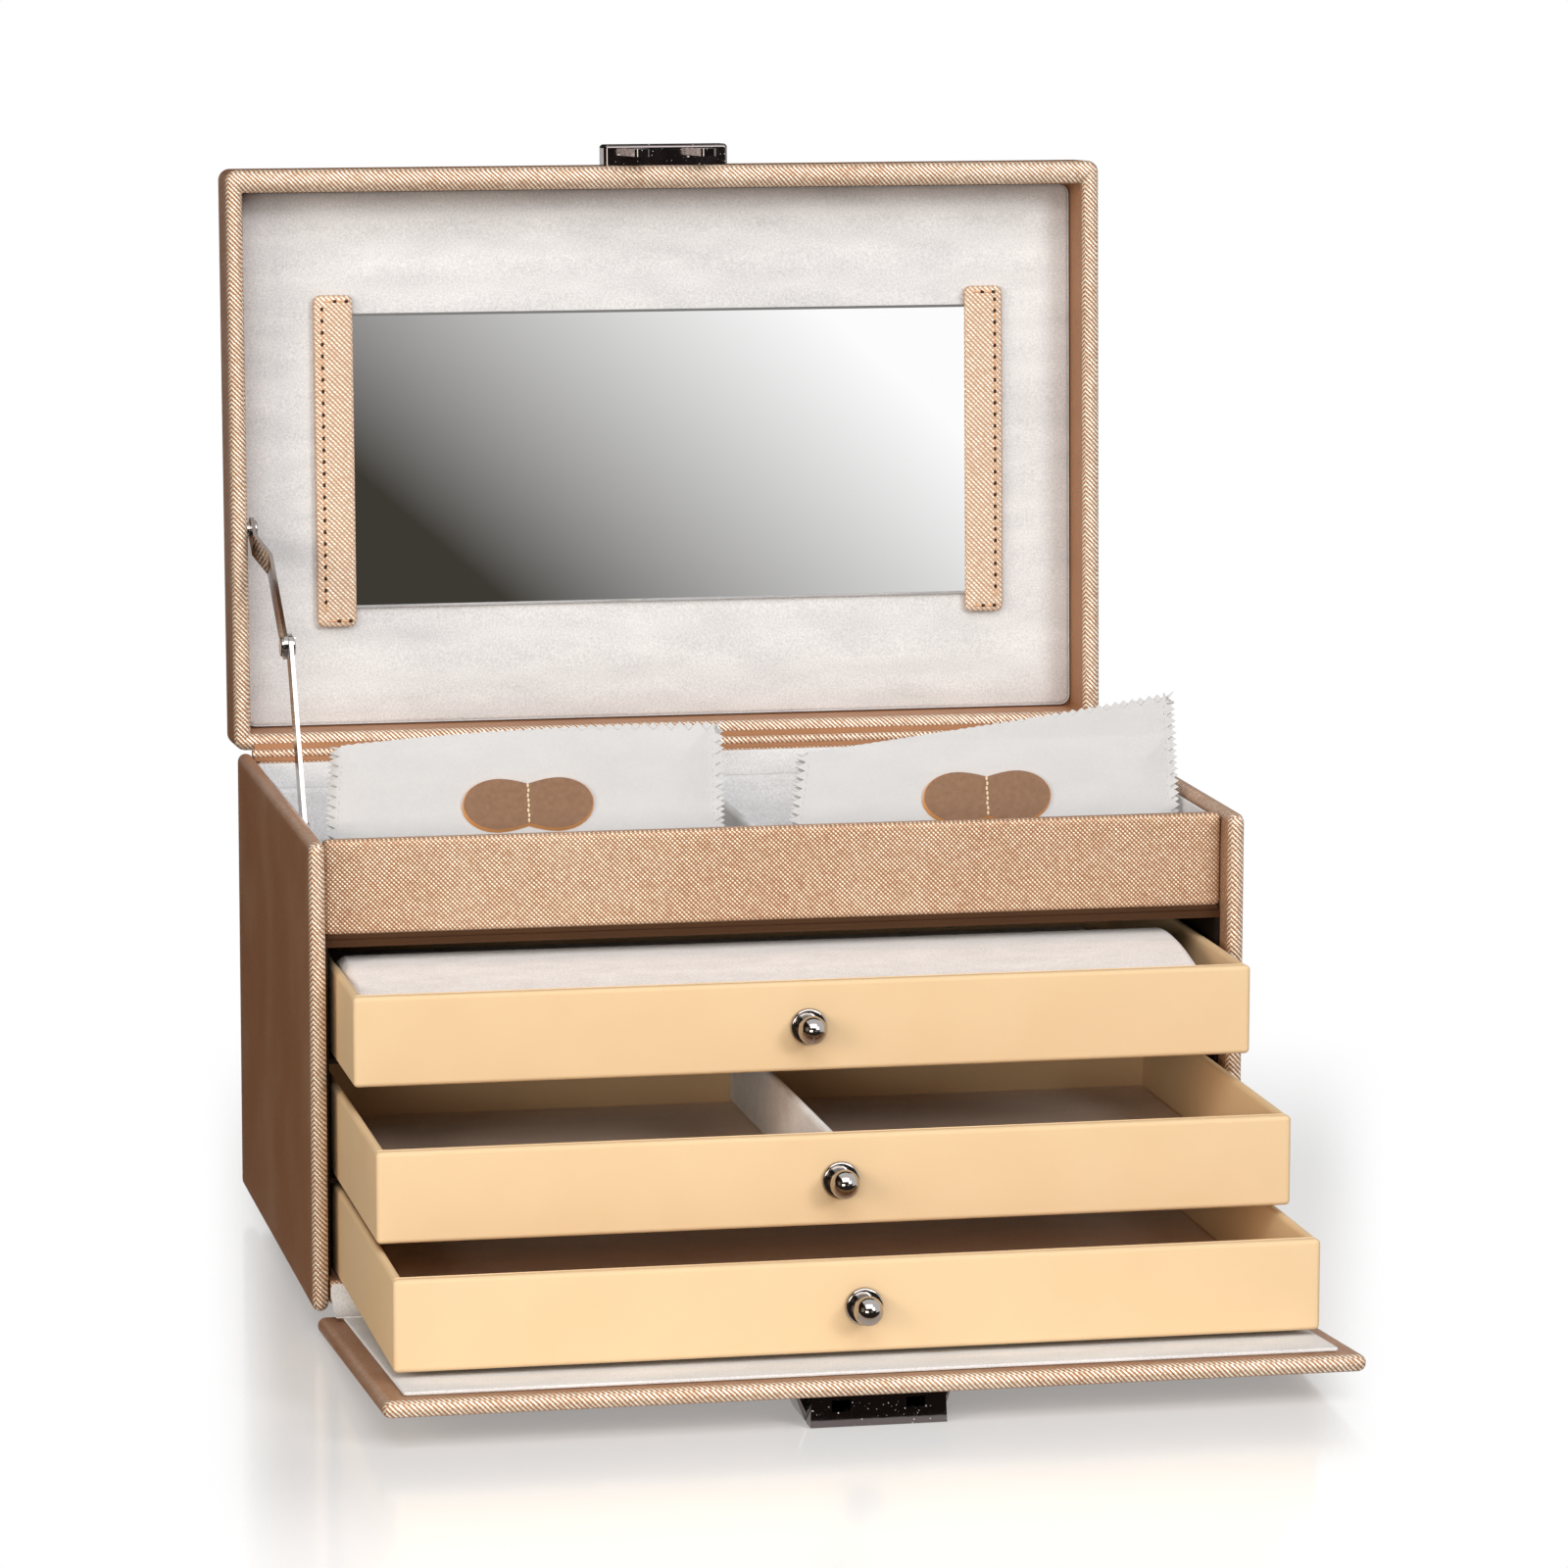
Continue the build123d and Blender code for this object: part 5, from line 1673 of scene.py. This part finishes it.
    def patch(self) -> Surface:
        """Work out the patch on the cloth: its rim, rings inside it, and a raw edge that slants out below.

        Returns:
            The patch, in the room: face finish 0 and edge finish 1.
        """
        turn = np.linspace(0, 2 * pi, 176, endpoint=False)
        x = self.patch_half * np.cos(turn)
        rim = np.stack([x, np.sign(np.sin(turn)) * self.patch_rim(x)], -1)
        scales = np.array([1.0, 1.0, 0.985, 0.96, 0.85, 0.6, 0.3, 0.02])
        lifts = np.array([-0.3, 0.75, 1.0, 1.0, 1.0, 1.0, 1.0, 1.0]) * self.patch_thickness
        slants = np.array([-1.15, -0.1, 0, 0, 0, 0, 0, 0]) * MM
        flat = np.array(self.patch_middle) + scales[:, None, None] * rim[None]
        flat[..., 1] += slants[:, None]
        level = self.face(flat[..., 0], flat[..., 1]) + lifts[:, None]
        made = Surface.grid(np.concatenate([flat, level[..., None]], -1))
        made.finish[: 2 * len(turn)] = 1
        return made.laid(self.place)

    def patch_thread(self) -> Surface:
        """Work out the row of stitches up the middle of the patch, a little out of line.

        Returns:
            The stitches, in the room.
        """
        y = self.patch_middle[1] + np.linspace(-0.86, 0.9, self.stitches) * self.waist
        x = self.patch_middle[0] + 0.12 * MM * np.sin(np.arange(self.stitches) * 2.3)
        points = np.stack([x, y, self.face(x, y) + self.patch_thickness + 0.05 * MM], -1)
        return stitch_row(points, (0.0, 1.0, 0.0), *self.stitch).laid(self.place)

    def seams(self) -> Surface:
        """Work out the sewn seams inside the two pinked sides.

        Returns:
            The stitches, in the room.
        """
        rows = []
        for height, taper, left in zip(self.heights, self.tapers, (True, False)):
            count = int((height - 5 * MM) / self.seam_pitch)
            y = 2 * MM + (np.arange(count) + 0.5) * self.seam_pitch
            inwards = taper * (y / height) + self.hem
            x = inwards if left else self.width - inwards
            rows.append(np.stack([x, y, self.face(x, y) - 0.04 * MM], -1))
        return stitch_row(np.concatenate(rows), (0.0, 1.0, 0.0), *self.seam_stitch).laid(self.place)

    def build(self) -> None:
        """Build the cloth, the patch and the threads, each with a copy of its own mesh."""
        layers = Surface.joined(self.layer(True), self.layer(False))
        node, leather = self.node, (PATCH_LEATHER, RAW_EDGE)
        cloth = Piece(f"{node}_cloth", node, (POUCH_CLOTH,), (node,), 50).make(layers)
        patch = Piece(f"{node}_leather_patch", node, leather, (f"{node}_patch",)).make(self.patch())
        thread = Piece(f"{node}_patch_thread", node, (PATCH_THREAD,)).make(self.patch_thread())
        seams = Piece(f"{node}_seams", node, (POUCH_CLOTH,)).make(self.seams())
        for soft in (cloth, patch, thread, seams):
            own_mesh(soft)


LEFT_POUCH = Pouch(
    Side.LEFT,
    left=-131.3 * MM,
    width=122.3 * MM,
    heights=(48.6 * MM, 53.0 * MM),
    tapers=(5.0 * MM, -1.3 * MM),
    patch_middle=(63.1 * MM, 29.8 * MM),
    bulge=1.5 * MM,
    curl=2.6 * MM,
    top_depths=(0.7 * MM, 3.3 * MM),
)
RIGHT_POUCH = Pouch(
    Side.RIGHT,
    left=7.0 * MM,
    width=125.0 * MM,
    heights=(42.4 * MM, 58.1 * MM),
    tapers=(7.2 * MM, 0.3 * MM),
    patch_middle=(64.5 * MM, 27.8 * MM),
    bulge=-0.6 * MM,
    curl=0.5 * MM,
    top_depths=(0.4 * MM, 3.0 * MM),
)


@dataclass
class Studio:
    """The camera, lamps, floor and cards round the case, none of them part of it."""

    eye: tuple[float, float, float] = (-0.37633, -1.88596, 0.45751)
    yaw: float = 11.493
    pitch: float = 8.995
    roll: float = 0.107
    focal_pixels: float = 6686.07
    image_pixels: float = 1600.0
    sensor: float = 36.0
    ambient: float = 0.17
    floor_lift: float = 0.46
    floor_aim: float = 0.207
    floor_spread: tuple[float, float] = (0.082, 0.097)
    floor_gloss: float = 0.20
    floor_middle: tuple[float, float] = (0.0, -0.08)
    floor_reach: tuple[float, float] = (0.26, 0.28)
    # shade_edge, floor_dim and floor_grey set a painted shade that greys the floor near the case.
    shade_edge: tuple[float, float] = (-0.168, -0.285)
    floor_end: float = 1.9
    floor_size: float = 1.2
    floor_dim: float = 0.78
    floor_pale: Colour = (0.72, 0.72, 0.72)
    floor_grey: Colour = (0.56, 0.56, 0.56)
    floor_roughness: float = 0.12

    @staticmethod
    def hang(name: str, data: bpy.types.ID, spot: Spot, turn: np.ndarray) -> bpy.types.Object:
        """Put a camera or lamp into the scene.

        Args:
            name: Its name.
            data: The camera or the lamp.
            spot: Where it is.
            turn: Its right, up and back directions, as columns.

        Returns:
            The object.
        """
        made = bpy.data.objects.new(name, data)
        made.matrix_world = Matrix([[*turn[row], spot[row]] for row in range(3)] + [[0, 0, 0, 1]])
        bpy.context.scene.collection.objects.link(made)
        return made

    @staticmethod
    def flat(name: str, corners: np.ndarray) -> tuple[bpy.types.Object, Wiring]:
        """Lay or stand one four-cornered piece of the studio, with an empty material.

        Args:
            name: Its name.
            corners: Its corners in the room, anticlockwise.

        Returns:
            The object and its material's wiring.
        """
        mesh = bpy.data.meshes.new(name)
        mesh.from_pydata(corners.tolist(), [], [[0, 1, 2, 3]])
        made = bpy.data.objects.new(name, mesh)
        bpy.context.scene.collection.objects.link(made)
        material = bpy.data.materials.new(name)
        mesh.materials.append(material)
        return made, Wiring.fresh(material)

    def camera(self) -> None:
        """Set the camera: its right, up and back directions make its matrix."""
        yaw, pitch, roll = (radians(angle) for angle in (self.yaw, self.pitch, self.roll))
        ahead = np.array([sin(yaw) * cos(pitch), cos(yaw) * cos(pitch), -sin(pitch)])
        level = np.array([cos(yaw), -sin(yaw), 0])
        above = np.cross(level, ahead)
        right = level * cos(roll) + above * sin(roll)
        up = above * cos(roll) - level * sin(roll)
        data = bpy.data.cameras.new("photo_camera")
        data.sensor_width = self.sensor
        data.lens = self.focal_pixels / self.image_pixels * self.sensor
        data.clip_start = 0.05
        turn = np.stack([right, up, -ahead], 1)
        bpy.context.scene.camera = self.hang("photo_camera", data, self.eye, turn)

    def lamp(self, name: str, spot: Spot, target: Spot, size: tuple, power: float, tint: Colour) -> None:
        """Hang one soft lamp.

        Args:
            name: The lamp's name.
            spot: Where it hangs.
            target: Where it looks.
            size: Its width and height.
            power: Its power in watts.
            tint: Its colour.
        """
        data = bpy.data.lights.new(name, "AREA")
        data.shape = "RECTANGLE"
        data.size, data.size_y = size
        data.energy = power
        data.color = tint
        away = np.asarray(spot, float) - np.asarray(target, float)
        away /= np.linalg.norm(away)
        side = np.cross((0, 0, 1), away)
        side /= np.linalg.norm(side)
        self.hang(name, data, spot, np.stack([side, np.cross(away, side), away], 1))

    def seen_share(self, wiring: Wiring) -> Socket:
        """Give 1 for rays of the camera, of gloss and through glass, and 0 for the light itself."""
        path = wiring.put("ShaderNodeLightPath").outputs
        first = wiring.math("MAXIMUM", path["Is Camera Ray"], path["Is Glossy Ray"])
        return wiring.math("MAXIMUM", first, path["Is Transmission Ray"])

    def world(self) -> None:
        """Set the room: white where it is seen, and a plain soft light on the object."""
        world = bpy.data.worlds.new("studio")
        bpy.context.scene.world = world
        wiring = Wiring.fresh(world)
        soft = wiring.shader("Background", {"Color": WHITE, "Strength": self.ambient})
        white = wiring.shader("Background", {"Color": WHITE, "Strength": 1.0})
        both = wiring.shader("MixShader", {0: self.seen_share(wiring), 1: soft, 2: white})
        wiring.put("ShaderNodeOutputWorld", {"Surface": both})

    def nearness(self, wiring: Wiring) -> Socket:
        """Give the floor's share: 1 under the case, and 0 away from it, where the white room shows.

        Away is e = length of ((x - middle) / reach), and the share falls smoothly from e = 1 to 1.9. It
        also falls to 0 aside of the case, with the angle from the middle line of the view.

        Args:
            wiring: The floor's material.

        Returns:
            The share's socket.
        """
        middle, reach = (*self.floor_middle, 0), (*self.floor_reach, 1)
        scaled = wiring.vector("DIVIDE", wiring.vector("SUBTRACT", wiring.spot(), middle)[0], reach)[0]
        length = wiring.vector("LENGTH", scaled)["Value"]
        close = wiring.ramp(length, 1.0, self.floor_end, 1.0, 0.0, smooth=True)
        place = wiring.split(wiring.spot())
        depth = wiring.math("SUBTRACT", place[1], self.eye[1])
        line = wiring.math("MULTIPLY_ADD", depth, self.floor_aim, self.eye[0])
        beside = wiring.math("ABSOLUTE", wiring.math("SUBTRACT", place[0], line))
        aside = wiring.math("DIVIDE", beside, depth)
        seen = wiring.ramp(aside, *self.floor_spread, 1.0, 0.0, smooth=True)
        return wiring.math("MULTIPLY", close, seen)

    def floor(self) -> None:
        """Lay the pale floor, which shows white but keeps the object's shadow and a faint reflection, and a
        painted shade that greys it from just in front of the case backwards.
        """
        square = np.array([[-1, -1, 0], [1, -1, 0], [1, 1, 0], [-1, 1, 0]])
        wiring = self.flat("studio_floor", self.floor_size * square)[1]
        along = wiring.split(wiring.spot())[1]
        # Painted shade: the floor's colour and glow are lowered from just in front of the case backwards.
        shade = wiring.ramp(along, *self.shade_edge, self.floor_dim, 1.0, smooth=True)
        light = 1 - self.floor_dim
        share = wiring.math("MULTIPLY_ADD", shade, 1 / light, -self.floor_dim / light)
        colour = wiring.blend(share, self.floor_grey, self.floor_pale)
        matt = wiring.shader("BsdfDiffuse", {"Color": colour})
        lift = wiring.math("MULTIPLY", self.seen_share(wiring), self.floor_lift)
        lift = wiring.math("MULTIPLY", lift, shade)
        glow = wiring.shader("Emission", {"Color": WHITE, "Strength": lift})
        lit = wiring.shader("AddShader", {0: matt, 1: glow})
        gloss = wiring.shader("BsdfGlossy", {"Color": WHITE, "Roughness": self.floor_roughness})
        both = wiring.shader("MixShader", {0: self.floor_gloss, 1: lit, 2: gloss})
        clear = wiring.shader("BsdfTransparent")
        kept = wiring.shader("MixShader", {0: self.nearness(wiring), 1: clear, 2: both})
        wiring.put("ShaderNodeOutputMaterial", {"Surface": kept})

    def card(
        self, name: str, place: Place, half: tuple, low: Colour, high: Colour, slant: tuple[float, float]
    ) -> None:
        """Stand a card that only gloss sees, shaded from one colour to another.

        Its share of the second colour is x * slant[0] + y * slant[1] + 0.5, with x and y from -1 to 1
        over the card, held between 0 and 1.

        Args:
            name: The card's name.
            place: Its middle and directions.
            half: Half its width and height.
            low: The colour at share 0.
            high: The colour at share 1.
            slant: How fast the share grows along x and y.
        """
        square = np.array([[-1, -1, 0], [1, -1, 0], [1, 1, 0], [-1, 1, 0]])
        made, wiring = self.flat(name, place.lay(square * (*half, 0)))
        shares = made.data.attributes.new("share", "FLOAT", "POINT")
        shares.data.foreach_set("value", (square[:, :2] @ slant + 0.5).astype(np.float32))
        share = wiring.put("ShaderNodeAttribute", attribute_name="share").outputs["Fac"]
        colour = wiring.blend(wiring.math("ADD", share, 0.0, clamp=True), low, high)
        glow = wiring.shader("Emission", {"Color": colour, "Strength": 1.0})
        clear = wiring.shader("BsdfTransparent")
        behind = wiring.put("ShaderNodeNewGeometry").outputs["Backfacing"]
        both = wiring.shader("MixShader", {0: behind, 1: glow, 2: clear})
        wiring.put("ShaderNodeOutputMaterial", {"Surface": both})
        made.visible_camera = False
        made.visible_diffuse = False
        made.visible_shadow = False
        made.visible_transmission = False

    def build(self) -> None:
        """Set up the camera, room, floor, lamps and cards."""
        bpy.context.scene.view_settings.view_transform = "Standard"
        self.camera()
        self.world()
        self.floor()
        aim, small, plain = (0, 0, 0.1), (0.9, 0.9), (1, 1, 1)
        self.lamp("key_lamp", (1.45, -2.3, 1.25), (0, 0, 0.12), small, 34, plain)
        self.lamp("front_lamp", (-0.1, -1.65, 1.8), aim, (2.2, 1.4), 31, plain)
        self.lamp("low_lamp", (-1.1, -2.5, 0.36), aim, (1.2, 0.5), 16, (1, 0.93, 0.84))
        self.lamp("fill_lamp", (-1.8, -1.3, 0.7), aim, small, 20, (1, 0.9, 0.78))
        look_back = ((-1, 0, 0), (0, 0, 1), (0, 1, 0))
        shades = paint(255, 255, 255), paint(62, 58, 52)
        self.card("mirror_card", Place((0.32, -1.6, 0.20), look_back), (0.21, 0.12), *shades, (0.55, -0.35))
        dark, brown = paint(52, 46, 42), paint(44, 28, 16)
        plain_cards = (
            ("front_card", Place((0, -3.2, 0.6), look_back), (3.5, 2.0), dark),
            ("near_card", Place((0, -0.98, 0.0006)), (0.9, 0.8), dark),
            ("left_card", Place((-0.9, 1.75, 0.6), Facing.RIGHT.value), (3.25, 0.8), brown),
            ("side_card", Place((-0.642, 0.55, 0.0006)), (0.5, 1.05), brown),
            ("lid_card", Place((0, 0.25, 0.62), Facing.FRONT.value), (0.45, 0.29), dark),
        )
        for name, place, half, colour in plain_cards:
            self.card(name, place, half, colour, colour, (0, 0))


def main() -> None:
    """Build the case's sub-assemblies in order, then the studio."""
    parts = (
        CaseBody(),
        TopCompartment(),
        Lid(),
        DropFront(),
        Drawer(1),
        Drawer(2, divided=True),
        Drawer(3),
        LEFT_POUCH,
        RIGHT_POUCH,
        Studio(),
    )
    for part in parts:
        part.build()
        LOG.info("%s is done", type(part).__name__)


if __name__ == "__main__":
    logging.basicConfig(level=logging.INFO, format="%(message)s")
    main()
